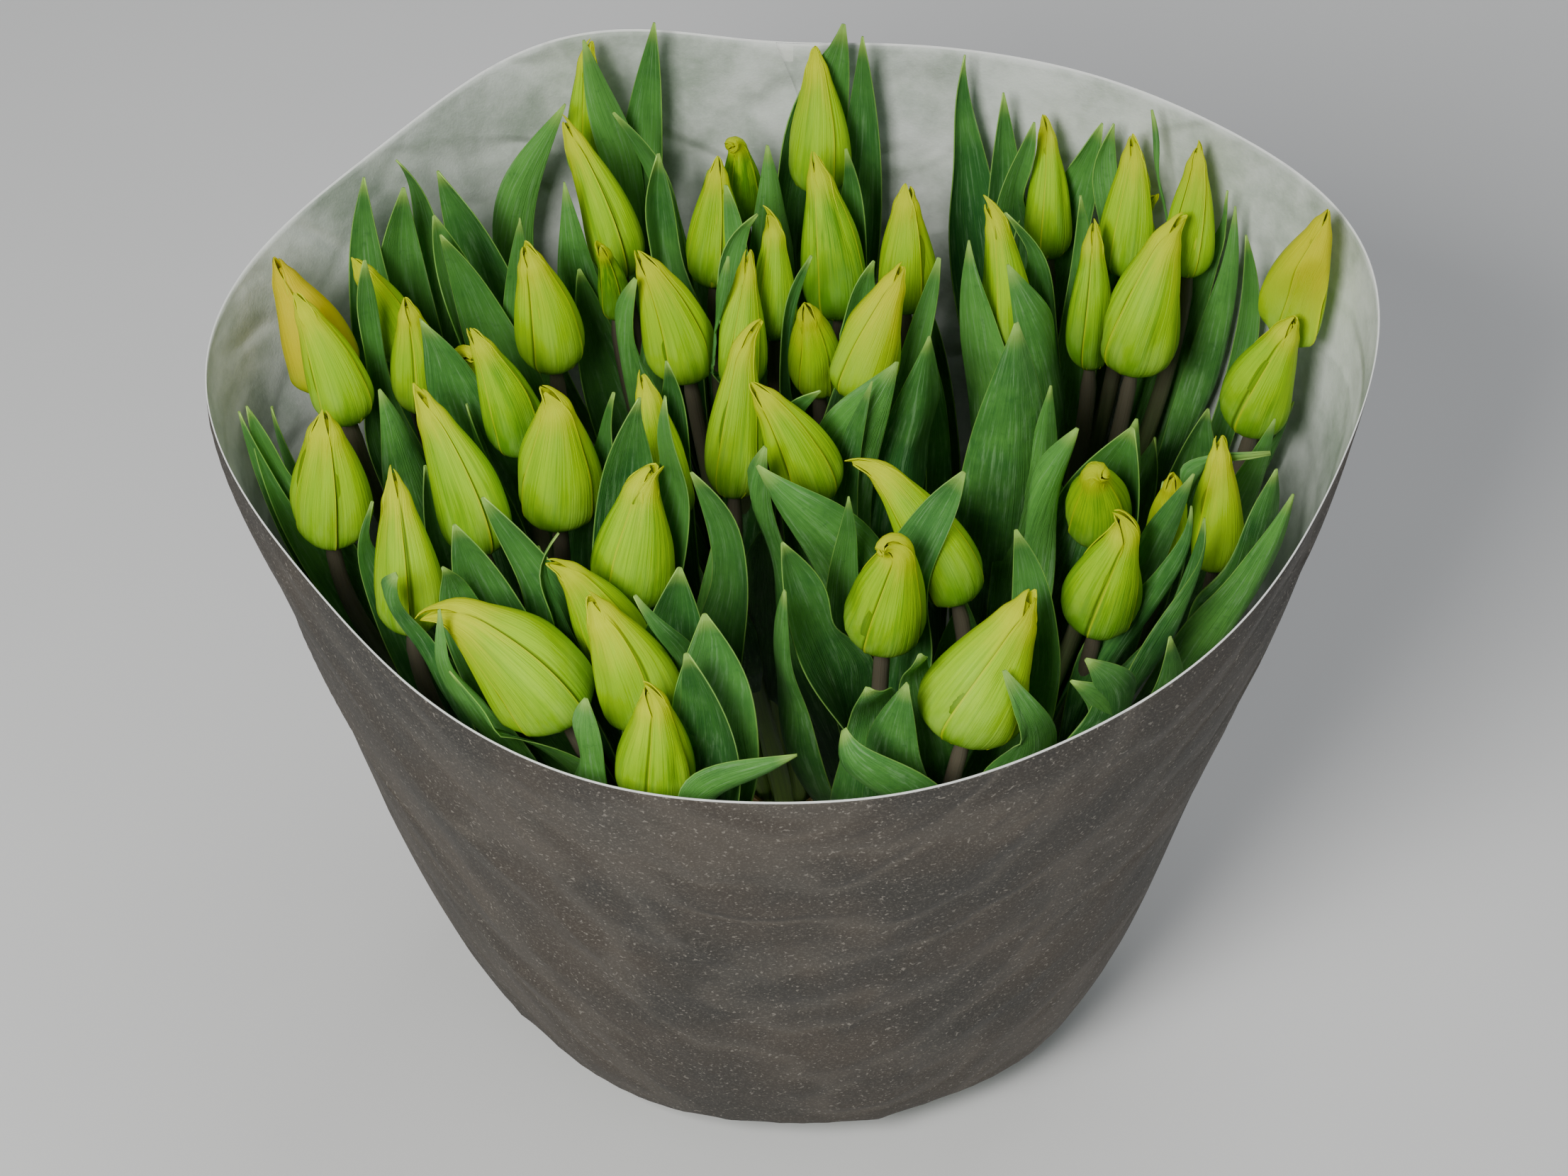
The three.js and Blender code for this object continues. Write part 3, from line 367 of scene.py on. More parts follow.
class Bunch:
    """All the tulips, with the room that each of them has between its neighbours."""

    def __init__(self):
        self.wall = Wall()
        self.tulips = [Tulip(i + 1, bundle) for i, bundle in enumerate(BUNDLE_OF_BUD)]
        for bundle in BUNDLES:
            self.press([t for t in self.tulips if t.bundle == bundle])
        for tulip in self.tulips:
            tulip.draw_line()
        self.grow_leaves()

    def press(self, members):
        """Presses a bundle's stems together, in the order that their buds stand."""
        middle = np.mean([t.foot[:2] for t in members], axis=0)
        for tulip in members:
            tulip.waist = (tulip.foot[:2] - middle) * PRESS_START
        for _ in range(PRESSINGS):
            for tulip in members:
                tulip.waist = tulip.waist * PRESS_PULL
            for i, tulip in enumerate(members):
                for other in members[i + 1 :]:
                    apart = tulip.waist - other.waist
                    distance = np.linalg.norm(apart)
                    if distance < STEM_PITCH:
                        push = apart * (STEM_PITCH - distance) / distance / 2
                        tulip.waist = tulip.waist + push
                        other.waist = other.waist - push

    def rooms(self, tulip, z, out, gap, leaf=False):
        """For each neighbour, how far out reaches towards it, as a share of tulip's own side.
        Two tulips share the space between them by their widths, but a leaf may reach up to the
        bud or the stem of a tulip of its own bundle."""
        centre = tulip.centre(z)
        own = tulip.width(z)
        for other in self.tulips:
            if other is tulip:
                continue
            way = other.centre(z) - centre
            apart = np.linalg.norm(way, axis=1)
            room = apart * own / (own + other.width(z)) - gap
            if leaf and other.bundle == tulip.bundle:
                room = np.maximum(room, apart - other.bud_reach(z) - LEAF_CLEARANCE)
            yield dot(out, way)[:, 0] / apart / np.maximum(room, LEAST_ROOM)

    def held(self, tulip, points, gap, leaf=False):
        """Points drawn smoothly towards the tulip's middle line, so that they stay on its own
        side of every neighbour and inside the sleeve: out (1 + sum (reach / room)^p)^(-1/p)."""
        z = points[:, 2]
        centre = tulip.centre(z)
        out = points[:, :2] - centre
        crowd = sum(
            np.maximum(share, 0) ** CROWDING for share in self.rooms(tulip, z, out, gap, leaf)
        )
        place = centre + out * ((1 + crowd) ** (-1 / CROWDING))[:, None] - AXIS
        turn = np.arctan2(place[:, 1], place[:, 0])
        far = np.linalg.norm(place, axis=1) / (self.wall.reach(turn, z) - WALL_GAP - gap)
        place = place * ((1 + far**WALL_CROWDING) ** (-1 / WALL_CROWDING))[:, None] + AXIS
        return np.column_stack([place, z])

    def kept_off(self, tulip, points, outwards, gap):
        """Points of one blade pushed off each bud that it would pass through, all to the same
        side of it, square to the bud's middle line, to where they clear the bud's outline."""
        t = np.linspace(0, 1, PUSH_PLACES)
        for other in self.tulips:
            spine = bud_spine(other.foot, other.tip, t)
            apart = np.linalg.norm(points[:, None] - spine[None], axis=2)
            near = apart.argmin(1)
            if apart.min() > other.radius * 1.1 + gap:
                continue
            way = unit(np.gradient(spine, axis=0)[near])
            spine = spine[near]
            side = np.column_stack([tulip.centre(spine[:, 2]) - spine[:, :2], 0 * near])
            if other is tulip:
                side = np.broadcast_to(outwards, side.shape)
            side = unit(square_to(side, way))
            off = square_to(points - spine, way)
            along = dot(off, side)[:, 0]
            beside = np.sqrt(np.maximum((off**2).sum(1) - along**2, 0))
            reach = PETAL_BULGE * other.radius * bud_outline(t[near]) + gap
            rim = np.sqrt(np.maximum(reach**2 - beside**2, 0))
            crossing = (rim > 0) & (np.abs(along) < 1.5 * reach)
            if not crossing.any():
                continue
            # Most of the blade is beyond the bud's middle line, so it goes to the far side.
            if np.median(along[crossing] / reach[crossing]) < -0.4:
                along, side = -along, -side
            lift = np.where(rim > 0, np.maximum(rim - along, 0), 0)
            near_enough = ease(-2.2, -1.2, along / reach)
            points = points + (lift * near_enough)[:, None] * side
        return points

    def room_towards(self, tulip, turns, height):
        """How far the tulip's own room reaches in some directions at a height."""
        out = np.column_stack([np.cos(turns), np.sin(turns)])
        z = np.full(len(turns), height)
        nearest = np.full(len(turns), 1 / MOST_ROOM)
        for share in self.rooms(tulip, z, out, 0):
            nearest = np.maximum(nearest, share)
        reach = 1 / nearest
        for _ in range(3):
            place = tulip.centre(z) + out * reach[:, None] - AXIS
            turn = np.arctan2(place[:, 1], place[:, 0])
            over = np.linalg.norm(place, axis=1) - self.wall.reach(turn, z)
            reach = reach - np.maximum(over, 0)
        return reach

    def slide(self, sight, distance):
        """The point of a line of sight that lies nearest to a distance and inside the sleeve."""
        steps = np.arange(-SLIDE_STEPS, SLIDE_STEPS + 1) * 2 * MM
        steps = steps[np.argsort(np.abs(steps), kind="stable")]
        points = EYE + (distance + steps)[:, None] * sight
        place = points[:, :2] - AXIS
        turn = np.arctan2(place[:, 1], place[:, 0])
        wall = self.wall.reach(turn, points[:, 2]) - 3 * WALL_GAP
        inside = (np.linalg.norm(place, axis=1) < wall) & (points[:, 2] < HIGHEST)
        return points[inside.argmax()]

    def seen_leaf(self, number, tip_pixel, body_pixel, width, nearer):
        """A leaf of the photograph. Its tip is on its own line of sight, on the slope of the
        tips, and its body hangs straight below. It grows from the tulip whose room it is in."""
        sight = sight_through(tip_pixel)
        slope = np.array([0, -FOOT_RISE, 1])
        distance = (LEAF_HEIGHT - slope @ EYE) / (slope @ sight) - nearer * MM
        tip = self.slide(sight, distance)
        drop = (body_pixel[1] - tip_pixel[1]) / PIXELS_PER_METRE / math.cos(VIEW_ELEVATION)
        sight = sight_through(body_pixel)
        body = self.slide(sight, (tip[2] - drop - EYE[2]) / sight[2])
        half = width / PIXELS_PER_METRE / 2
        leaf = {"tip": tip, "body": body, "half": half, "seed": number, "facing": SEEN_FACING}

        def misfit(tulip):
            extra = max(0, len(tulip.leaves) - LEAF_COUNT)
            return tulip.share(body) + TIP_WEIGHT * tulip.share(tip) + LEAF_WEIGHT * extra

        return min(self.tulips, key=misfit), leaf

    def grow_leaves(self):
        """Gives each tulip the leaves that show, and hidden ones where there is most room."""
        for number, row in enumerate(LEAVES):
            tulip, leaf = self.seen_leaf(number, *row)
            tulip.leaves.append(leaf)
        for tulip in self.tulips:
            self.grow_hidden_leaves(tulip)
            tulip.leaves = [leaf for leaf in tulip.leaves if leaf["seed"] not in SLIVERS]
        for tulip in self.tulips:
            homes = [OTHER_TULIP.get(leaf["seed"], tulip.number) for leaf in tulip.leaves]
            leaves, tulip.leaves = tulip.leaves, []
            for leaf, home in zip(leaves, homes):
                self.tulips[home - 1].leaves.append(leaf)
        for tulip in self.tulips:
            for layer, leaf in enumerate(tulip.leaves):
                leaf["layer"] = layer

    def grow_hidden_leaves(self, tulip):
        """Leaves that stand lower than the bud, turned away from the leaves that show."""
        turns = np.arange(HIDDEN_WAYS) * FULL_TURN / HIDDEN_WAYS
        height = mix(tulip.foot[2], tulip.tip[2], 0.4)
        room = self.room_towards(tulip, turns, height)
        taken = [math.atan2(*(leaf["body"][:2] - tulip.centre(leaf["body"][2])[0])[::-1])
                 for leaf in tulip.leaves]
        for k in np.argsort(-room, kind="stable"):
            free = all(math.cos(turn - turns[k]) < HIDDEN_APART for turn in taken)
            if not free or len(tulip.leaves) >= LEAF_COUNT:
                continue
            seed = tulip.number * 10 + len(tulip.leaves)
            out = np.array([math.cos(turns[k]), math.sin(turns[k])])
            reach = np.clip(room[k] * HIDDEN_FILL, *HIDDEN_REACH)
            top = tulip.foot[2] + mix(*HIDDEN_TOP, draw(seed * 3))
            low = top - HIDDEN_DROP
            taken.append(turns[k])
            tulip.leaves.append({
                "tip": np.append(tulip.centre(top)[0] + 1.1 * reach * out, top),
                "body": np.append(tulip.centre(low)[0] + reach * out, low),
                "half": mix(*HIDDEN_HALF, draw(seed * 5)),
                "seed": 1000 + seed,
                "facing": HIDDEN_FACING,
            })


# ---- meshes ------------------------------------------------------------------------------------


class Body:
    """Closed shells gathered for one mesh, with a UV map and three values at every vertex."""

    def __init__(self):
        self.points, self.faces, self.uv, self.finish = [], [], [], []
        self.values = {"tone": [], "inner": [], "lap": []}
        self.count = 0

    def add(self, points, faces, uv, finish=0, **values):
        """Adds vertices and the faces between them. The values are numbers or arrays."""
        n = len(points)
        self.points.append(points)
        self.faces.append(faces + self.count)
        self.uv.append(uv)
        for label, parts in self.values.items():
            parts.append(np.broadcast_to(values.get(label, 0.0), n))
        self.finish.append(np.full(len(faces), finish))
        self.count += n

    def make(self, name, finishes):
        """The mesh object, riding on the part's one body."""
        faces = np.vstack(self.faces)
        mesh = bpy.data.meshes.new(name)
        mesh.from_pydata(np.vstack(self.points).tolist(), [], faces.tolist())
        mesh.polygons.foreach_set("use_smooth", np.ones(len(faces), bool))
        mesh.polygons.foreach_set("material_index", np.concatenate(self.finish).astype(np.int32))
        uv = np.vstack(self.uv)[faces.ravel()]
        mesh.uv_layers.new(name="surface").data.foreach_set("uv", uv.astype(np.float32).ravel())
        for label, parts in self.values.items():
            layer = mesh.attributes.new(label, "FLOAT", "POINT")
            layer.data.foreach_set("value", np.concatenate(parts).astype(np.float32))
        for finish in finishes:
            mesh.materials.append(finish)
        mesh.update()
        piece = bpy.data.objects.new(name, mesh)
        bpy.context.scene.collection.objects.link(piece)
        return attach(piece, BODY)


def grid_faces(rows, columns, start=0, closed=False):
    """Quads between the points of a grid that is stored row by row."""
    i, j = np.meshgrid(np.arange(rows - 1), np.arange(columns if closed else columns - 1))
    i, j = i.ravel(), j.ravel()
    k = (j + 1) % columns
    quads = [i * columns + j, i * columns + k, (i + 1) * columns + k, (i + 1) * columns + j]
    return np.column_stack(quads) + start


def shell_faces(rows, columns):
    """Quads of a closed shell: an outer grid, an inner grid after it, and the rim between."""
    n = rows * columns
    outer = grid_faces(rows, columns)
    inner = grid_faces(rows, columns, n)[:, ::-1]
    left = np.arange(rows) * columns
    ring = np.concatenate([
        np.arange(columns),
        left[1:] + columns - 1,
        n - 2 - np.arange(columns - 1),
        left[1:-1][::-1],
    ])
    after = np.roll(ring, -1)
    rim = np.column_stack([ring, ring + n, after + n, after])
    return np.vstack([outer, inner, rim])


def tube(path, radii, sides):
    """Points and quads of a tube, closed round its sides: circles of the radii square to the
    path. Its ends are left open, but a tiny radius at an end draws that end in."""
    ways = unit(np.gradient(path, axis=0))
    side = unit(np.cross([0, 1, 0], ways))
    front = np.cross(ways, side)
    turn = np.arange(sides) * FULL_TURN / sides
    rings = (
        path[:, None]
        + radii[:, None, None] * np.cos(turn)[None, :, None] * side[:, None]
        + radii[:, None, None] * np.sin(turn)[None, :, None] * front[:, None]
    )
    n = len(path)
    uv = np.stack(np.broadcast_arrays(turn[None] / FULL_TURN, np.linspace(0, 1, n)[:, None]), -1)
    return rings.reshape(-1, 3), grid_faces(n, sides, closed=True), uv.reshape(-1, 2)


# ---- buds --------------------------------------------------------------------------------------

PETAL_ROWS = 34
PETAL_COLUMNS = 19
PETAL_THICKNESS = 0.6 * MM
CURL_START = 0.78  # share of the bud's length where a curled tip begins
CURL_PLACES = 161  # on the bud's middle line, at which its curl is worked out
PETAL_GAPS = (1.2, 1.6, 1.6, 3, 3, 3)  # mm kept free round each petal, the front one first
INSIDE_GAP = 0.5 * MM  # and more round a petal's inner side

# Half the turn that a petal takes round the bud, in degrees: the front one at the least and at
# the most, the two beside it, and the inner ones.
FRONT_HALF = (34, 62)
SIDE_HALVES = (96, 92)
INNER_HALF = 66
PETALS_APART = math.radians(120)
PETAL_TWIST = 0.35  # radians that a petal winds round the bud from foot to tip
PETAL_NARROWING = 0.35  # share of its half turn that a petal loses towards its tip
PETAL_SHORTER = (0.06, 0.08)  # than the bud, as shares: an outer one at the most, and an inner
NO_LAP = 2  # stands for the place of a neighbour's edge where there is none
FAR_LAP = 1.5  # an edge that lies beyond this doesn't touch the petal

# How far a petal lies outside or inside the bud's outline, as shares of the bud's radius.
OUTER_BULGE = 0.05
INNER_DEPTH = 0.13
GROOVE_DEPTH = 0.15  # where a neighbour's edge lies over it
SIDE_DEPTH = 0.09  # at a side that lies over a neighbour
RIB_HEIGHT = 0.018
DENT_DEPTH = 0.13
DENTED = 0.35  # share of the petals that have a dent
TIP_DRAW = 0.45  # how far the petals draw together at the tip

NIBS = (1.0 * MM, 0.6 * MM)  # how far they stand out on the outer and on the inner petals
TIP_SPREAD = 1.6  # mm that the tip of an outer petal stands aside at the most

# The sides of the outer petals that lie under a neighbour: the petal and its side, 0 or 1.
UNDER = ((1, 0), (2, 0), (2, 1))

# How yellow the buds are, where they differ from the rest: 1 is orange-yellow, -1 is leaf green.
TONE_OF_BUD = {
    1: -0.35, 2: 0.0, 3: 1.0, 4: 0.2, 7: -0.2, 8: -0.5, 9: 0.1, 18: 0.0, 22: -0.1, 25: -0.5,
    26: 0.15, 28: -0.9, 29: -0.9, 31: 0.5, 32: 0.35, 36: 0.3, 37: -0.5, 39: 0.6, 40: -0.2,
    41: 0.4, 42: 0.5, 43: -0.3, 44: -0.4, 45: 0.15, 46: 0.0, 47: -0.2,
}
# How many degrees a tip curls over, to the left where it is positive.
CURL_OF_BUD = {
    1: -20, 7: -230, 9: 60, 14: 70, 15: 40, 17: 45, 18: -60, 21: -60, 24: 40, 28: 400, 33: 30,
    38: -35, 43: -350, 44: 110, 46: 240, 47: 50,
}


def bud_frames(tulip, t):
    """The bud's middle line at the shares t of its length, its direction there and the two
    directions across it. Where the tip curls, the direction turns sideways, faster and faster."""
    grid = np.linspace(0, 1, CURL_PLACES)
    steps = np.diff(bud_spine(tulip.foot, tulip.tip, grid), axis=0)
    beyond = np.clip((grid[1:] - CURL_START) / (1 - CURL_START), 0, 1)
    turn = math.radians(CURL_OF_BUD.get(tulip.number, 0)) * beyond[:, None] ** 1.5
    steps = steps * (1 + 0.8 * np.sin(np.minimum(np.abs(turn) / 2, math.pi / 2)))
    turned = steps * np.cos(turn) + np.cross(AWAY, steps) * np.sin(turn)
    steps = turned + AWAY * (steps @ AWAY)[:, None] * (1 - np.cos(turn))
    line = np.vstack([tulip.foot, tulip.foot + np.cumsum(steps, axis=0)])
    way = np.gradient(line, axis=0)
    line, way = (
        np.column_stack([np.interp(t, grid, rows[:, k]) for k in range(3)]) for rows in (line, way)
    )
    way = unit(way)
    side = unit(np.cross([0, 1, 0], way))
    return line[:, None], side[:, None], np.cross(way, side)[:, None]


def petal_lap(k, u, half, halves, narrow):
    """The u at which a neighbour's edge lies over petal k, and NO_LAP where none does."""
    sides = [PETALS_APART - math.radians(halves[(k + step) % 3]) * narrow for step in (-1, 1)]
    under = [(k, side) in UNDER for side in (0, 1)]
    return np.where(u < 0, *(np.where(under[i], sides[i] / half, NO_LAP) for i in (0, 1)))


def petal_waves(chance, u, v):
    """Two slow waves over a petal, and a dent e^-((u - u0) / 0.3)^2 e^-((v - v0) / 0.16)^2 that
    about one petal in three has."""
    wave = 0.016 * np.sin(6 * v + 3 * u + chance.random() * FULL_TURN)
    wave = wave + 0.014 * u**2 * np.sin(15 * v + chance.random() * FULL_TURN)
    dent_u, dent_v = chance.uniform(-0.7, 0.7), chance.uniform(0.25, 0.7)
    dent = -DENT_DEPTH * (chance.random() < DENTED) * np.exp(-(((u - dent_u) / 0.3) ** 2))
    return wave, dent * np.exp(-(((v - dent_v) / 0.16) ** 2))


def petal(tulip, k, chance, roll, halves):
    """One petal on a grid: u runs across it and v from foot to tip. Its distance from the bud's
    middle line is the bud's outline, which bulges along the petal's middle and dips into a
    groove where a neighbour's edge lies over it. The petal ends in a small rounded nib."""
    outer = k < 3
    u = np.sin(np.linspace(-math.pi / 2, math.pi / 2, PETAL_COLUMNS))[None, :]
    x = np.linspace(0, 1, PETAL_ROWS)[:, None]
    v = mix(x, 1 - (1 - x) ** 2, 0.4)
    t = v * (1 - (PETAL_SHORTER[0] * chance.random() ** 2 if outer else PETAL_SHORTER[1]))
    middle = math.radians(120 * k + (0 if outer else 60)) + roll
    narrow = 1 - PETAL_NARROWING * ease(0.75, 1, v) ** 1.5
    half = math.radians(halves[k] if outer else INNER_HALF) * narrow
    turn = middle + u * half + PETAL_TWIST * (t - 0.4) + chance.normal(0, 0.03)
    if outer:
        lap = petal_lap(k, u, half, halves, narrow)
        groove = GROOVE_DEPTH * ease(lap - 0.5, lap - 0.04, np.abs(u))
        dip = groove + 0.03 * ease(0.5, 1, np.abs(u))
        dip = np.where(lap < FAR_LAP, dip, SIDE_DEPTH * np.abs(u) ** 2.5)
        shape = OUTER_BULGE - dip * ease(0.02, 0.3, v) * ease(1.05, 0.6, v)
    else:
        lap = NO_LAP + 0 * u * v
        shape = -INNER_DEPTH - 0.03 * u**2
    rib = RIB_HEIGHT * np.exp(-((u / 0.1) ** 2)) * ease(0.95, 0.4, v)
    wave, dent = petal_waves(chance, u, v)
    r = tulip.radius * bud_outline(t) * (1 + shape + rib + wave + dent * outer)
    edge = 0.3 * MM * ease(0.88, 1, np.abs(u)) * outer
    nib = NIBS[0 if outer else 1] * ease(0.76, 0.9, v) * np.sqrt(np.clip((1 - v) / 0.04, 0, 1))
    r = np.maximum(r * (1 - TIP_DRAW * ease(0.86, 1, v)), 0.15 * MM) + edge + nib
    spread = chance.uniform(0, 1) ** 2 * TIP_SPREAD * MM * ease(0.86, 1, v) ** 2 * outer
    spine, side, front = bud_frames(tulip, t[:, 0])
    lean = math.cos(middle) * side + math.sin(middle) * front
    out = np.cos(turn)[..., None] * side + np.sin(turn)[..., None] * front
    outside = spine + r[..., None] * out + spread[..., None] * lean
    inner = np.maximum(r - PETAL_THICKNESS, 0.08 * MM)
    inside = spine + inner[..., None] * out + spread[..., None] * lean
    uv = np.stack(np.broadcast_arrays(u * 0.5 + 0.5, t), -1).reshape(-1, 2)
    return outside.reshape(-1, 3), inside.reshape(-1, 3), uv, lap.ravel()


def make_bud(bunch, tulip, finish):
    """Six petals in two rings, held in the tulip's own room, the inner ring a little more."""
    chance = np.random.default_rng(100 + tulip.number)
    body = Body()
    faces = shell_faces(PETAL_ROWS, PETAL_COLUMNS)
    tone = TONE_OF_BUD.get(tulip.number, 0.5 * (draw(tulip.number) - 0.4))
    roll = math.radians(-90 + chance.uniform(-30, 30))
    halves = (chance.uniform(*FRONT_HALF), *SIDE_HALVES)
    for k in range(6):
        outside, inside, uv, lap = petal(tulip, k, chance, roll, halves)
        gap = PETAL_GAPS[k] * MM
        points = np.vstack([
            bunch.held(tulip, outside, gap), bunch.held(tulip, inside, gap + INSIDE_GAP)
        ])
        # The inner side of each petal gets 1 and the outer side of an inner petal 0.8: the petal
        # finish paints shade by these values, because these sides lie hidden inside the bud.
        inner = np.repeat([0.0 if k < 3 else 0.8, 1.0], len(outside))
        lap = np.concatenate([lap, lap * 0 + NO_LAP])
        shade = tone + chance.normal(0, 0.06)
        body.add(points, faces, np.vstack([uv, uv]), tone=shade, inner=inner, lap=lap)
    piece = body.make(f"tulip_bud_{tulip.number:02d}", [finish])
    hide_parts(tulip.node)


# ---- leaves and stems --------------------------------------------------------------------------

LEAF_ROWS = 40
LEAF_COLUMNS = 15
LEAF_WIDEST = 27 * MM  # half width of the broadest leaf
LEAF_FULLNESS = 1.22  # a leaf is this much wider than it looks, because it is hollow
LEAF_HOLLOW = (18 * MM, 40 * MM)  # radius of the hollow across a leaf
LEAF_HALF_THICKNESS = 0.45 * MM
LEAF_FOLD = (0.05, 0.5)  # depth of the fold at the midrib, as a share of the half width
EDGE_WAVES = (5, 11)  # radians that the wave of an edge runs through from root to tip
EDGE_WAVE_DEPTH = (0.12, 0.84)  # in mm
HOOD_DEPTH = (0, 5)  # mm that a tip bends in over the bud
STEM_SIDES = 12
STEM_TOP = 2.2 * MM  # radius where a stem ends, inside its bud
SPINE_CLEARANCE = 2.5 * MM  # between a leaf's middle line and its own bud
BLADE_CLEARANCE = 1.1 * MM  # between a blade and a bud that it is pushed off
OWN_CLEARANCE = 2.8 * MM  # between a blade and its own bud, before that
EASINGS = (10, 3)  # times that a blade is smoothed before it is pushed off the buds, in turn


def leaf_outline(s):
    """Half width of a lance-shaped blade along its length, with a clasping root."""
    blade = np.sin(math.pi * np.clip(s, 0, 1) ** 0.85) ** 0.85
    return np.maximum(blade, 0.32 * (1 - s) ** 3)


def hermite(x, knots, places, slopes):
    """A smooth curve through three places at three knots, with a slope given at each."""
    curve = np.zeros((len(x), places.shape[1]))
    for k in (0, 1):
        span = knots[k + 1] - knots[k]
        t = np.clip((x - knots[k]) / span, 0, 1)[:, None]
        part = (
            (1 + 2 * t) * (1 - t) ** 2 * places[k] + t * (1 - t) ** 2 * span * slopes[k]
            + t**2 * (3 - 2 * t) * places[k + 1] + t**2 * (t - 1) * span * slopes[k + 1]
        )
        here = x <= knots[1] if k == 0 else x > knots[1]
        curve[here] = part[here]
    return curve


def away_from_bud(tulip, points, gap):
    """Points pushed out from the middle line to where they clear the bud or the stem."""
    centre = tulip.centre(points[:, 2])
    out = points[:, :2] - centre
    reach = np.linalg.norm(out, axis=1)
    clear = tulip.bud_reach(points[:, 2]) + gap
    share = (1 + (clear / np.maximum(reach, 0.1 * MM)) ** 10) ** 0.1
    return np.column_stack([centre + out * share[:, None], points[:, 2]])


def leaf_spine(tulip, leaf, s, root):
    """The leaf's middle line: up along the stem from the root, out to the body and to the tip."""
    tip, body = leaf["tip"], leaf["body"]
    outwards = unit(body[:2] - tulip.centre(body[2])[0])
    foot = tulip.centre([root, root + MM])
    start = np.append(foot[0] + CLASP * outwards, root)
    steps = np.array([body - start, tip - body])
    lengths = np.linalg.norm(steps, axis=1)
    knot = lengths[0] / lengths.sum()
    before, after = steps[0] / knot, steps[1] / (1 - knot)
    upwards = np.append((foot[1] - foot[0]) / MM, 1)
    middle = mix(before, after, knot)
    slopes = np.array([upwards * before[2], middle, (3 * after - middle) / 2])
    spine = hermite(s, [0, knot, 1], np.array([start, body, tip]), slopes)
    return away_from_bud(tulip, spine, SPINE_CLEARANCE), np.append(outwards, 0), knot


def eased(grid, times):
    """The rows of a grid of points smoothed along the blade, its first and last row kept."""
    for _ in range(times):
        inner = (grid[:-2] + 2 * grid[1:-1] + grid[2:]) / 4
        grid = np.concatenate([grid[:1], inner, grid[-1:]])
    return grid


def leaf_frame(leaf, spine, outwards, knot, s):
    """The directions across a blade and square to it, all along its middle line. The blade faces
    outwards at its root, and turns to the viewer as it rises."""
    way = unit(np.gradient(spine, axis=0))
    viewer = np.array([0.7 * (draw(leaf["seed"] * 11 + 2) - 0.5), -1, 0])
    if outwards @ viewer < 0:
        viewer = -viewer
    normal = mix(outwards, viewer, leaf["facing"] * ease(0.3, knot, s)[:, None])
    normal = unit(square_to(normal, way))
    return np.cross(way, normal), normal


def blade_sides(points, normal, a):
    """The two sides of a blade of some thickness, thinner at its edges, outside first."""
    square = np.cross(np.gradient(points, axis=1), np.gradient(points, axis=0))
    square = square / np.maximum(np.linalg.norm(square, axis=2), 1e-12)[..., None]
    flip = np.sign(dot(square, normal[:, None]).sum())
    offset = flip * square * (LEAF_HALF_THICKNESS * (1 - 0.5 * np.abs(a) ** 3))[None, :, None]
    return (points + offset).reshape(-1, 3), (points - offset).reshape(-1, 3)


def leaf_surface(bunch, tulip, leaf):
    """A blade on a grid: a runs across it and s from root to tip. At each place on its middle
    line it is an arc with a fold at the midrib, whose hollow side faces the bud. The arc clasps
    the stem at the root and flattens as it rises. Its edges wave, and its tip is hooded."""
    seed = leaf["seed"]
    chance = np.random.default_rng(seed)
    a = np.sin(np.linspace(-math.pi / 2, math.pi / 2, LEAF_COLUMNS))
    s = np.linspace(0, 1, LEAF_ROWS) ** 0.8
    root = mix(*LEAF_ROOT, draw(seed * 7 + 1))
    hollow = mix(*LEAF_HOLLOW, draw(seed * 13 + 3))
    fold = mix(*LEAF_FOLD, draw(seed * 17 + 4))
    spine, outwards, knot = leaf_spine(tulip, leaf, s, root)
    across, normal = leaf_frame(leaf, spine, outwards, knot, s)
    half = LEAF_FULLNESS * leaf["half"] * leaf_outline(np.minimum(s, 0.995)) / leaf_outline(knot)
    half = LEAF_WIDEST * np.tanh(half / LEAF_WIDEST)
    radius = mix(CLASP, hollow, ease(0.05, 0.6, s)) * (1 - 0.5 * ease(0.8, 1, s))
    turn = 1.4 * np.tanh(half / radius / 1.4)[:, None] * a
    wide = radius[:, None] * np.sin(turn)
    deep = radius[:, None] * (1 - np.cos(turn))
    crease = fold * half * ease(0.3, 0.7, s)
    deep = deep + crease[:, None] * (np.hypot(a, 0.1) - 0.1)
    wave = np.sin(chance.uniform(*EDGE_WAVES) * s[:, None] + np.where(a > 0, 2.0, 4.6))
    wave = wave * a**2 * ease(0.3, 0.5, s)[:, None]
    deep = deep + chance.uniform(*EDGE_WAVE_DEPTH) * MM * wave
    hood = chance.uniform(*HOOD_DEPTH) * MM * ease(0.88, 1, s) ** 2
    deep = deep + hood[:, None]
    points = spine[:, None] + wide[..., None] * across[:, None] - deep[..., None] * normal[:, None]
    layer = LEAF_LAYER * leaf["layer"]
    clasp = np.repeat(ease(0, 0.12, s), LEAF_COLUMNS)
    points = away_from_bud(tulip, points.reshape(-1, 3), (OWN_CLEARANCE + layer) * clasp)
    points = bunch.held(tulip, points, LEAF_GAP + layer + 0.5 * MM, leaf=True)
    for times in EASINGS:
        points = eased(points.reshape(LEAF_ROWS, LEAF_COLUMNS, 3), times)
        points = bunch.kept_off(tulip, points.reshape(-1, 3), outwards, BLADE_CLEARANCE)
    points = points.reshape(LEAF_ROWS, LEAF_COLUMNS, 3)
    uv = np.stack(np.broadcast_arrays(a[None] * 0.5 + 0.5, s[:, None]), -1).reshape(-1, 2)
    return *blade_sides(points, normal, a), uv


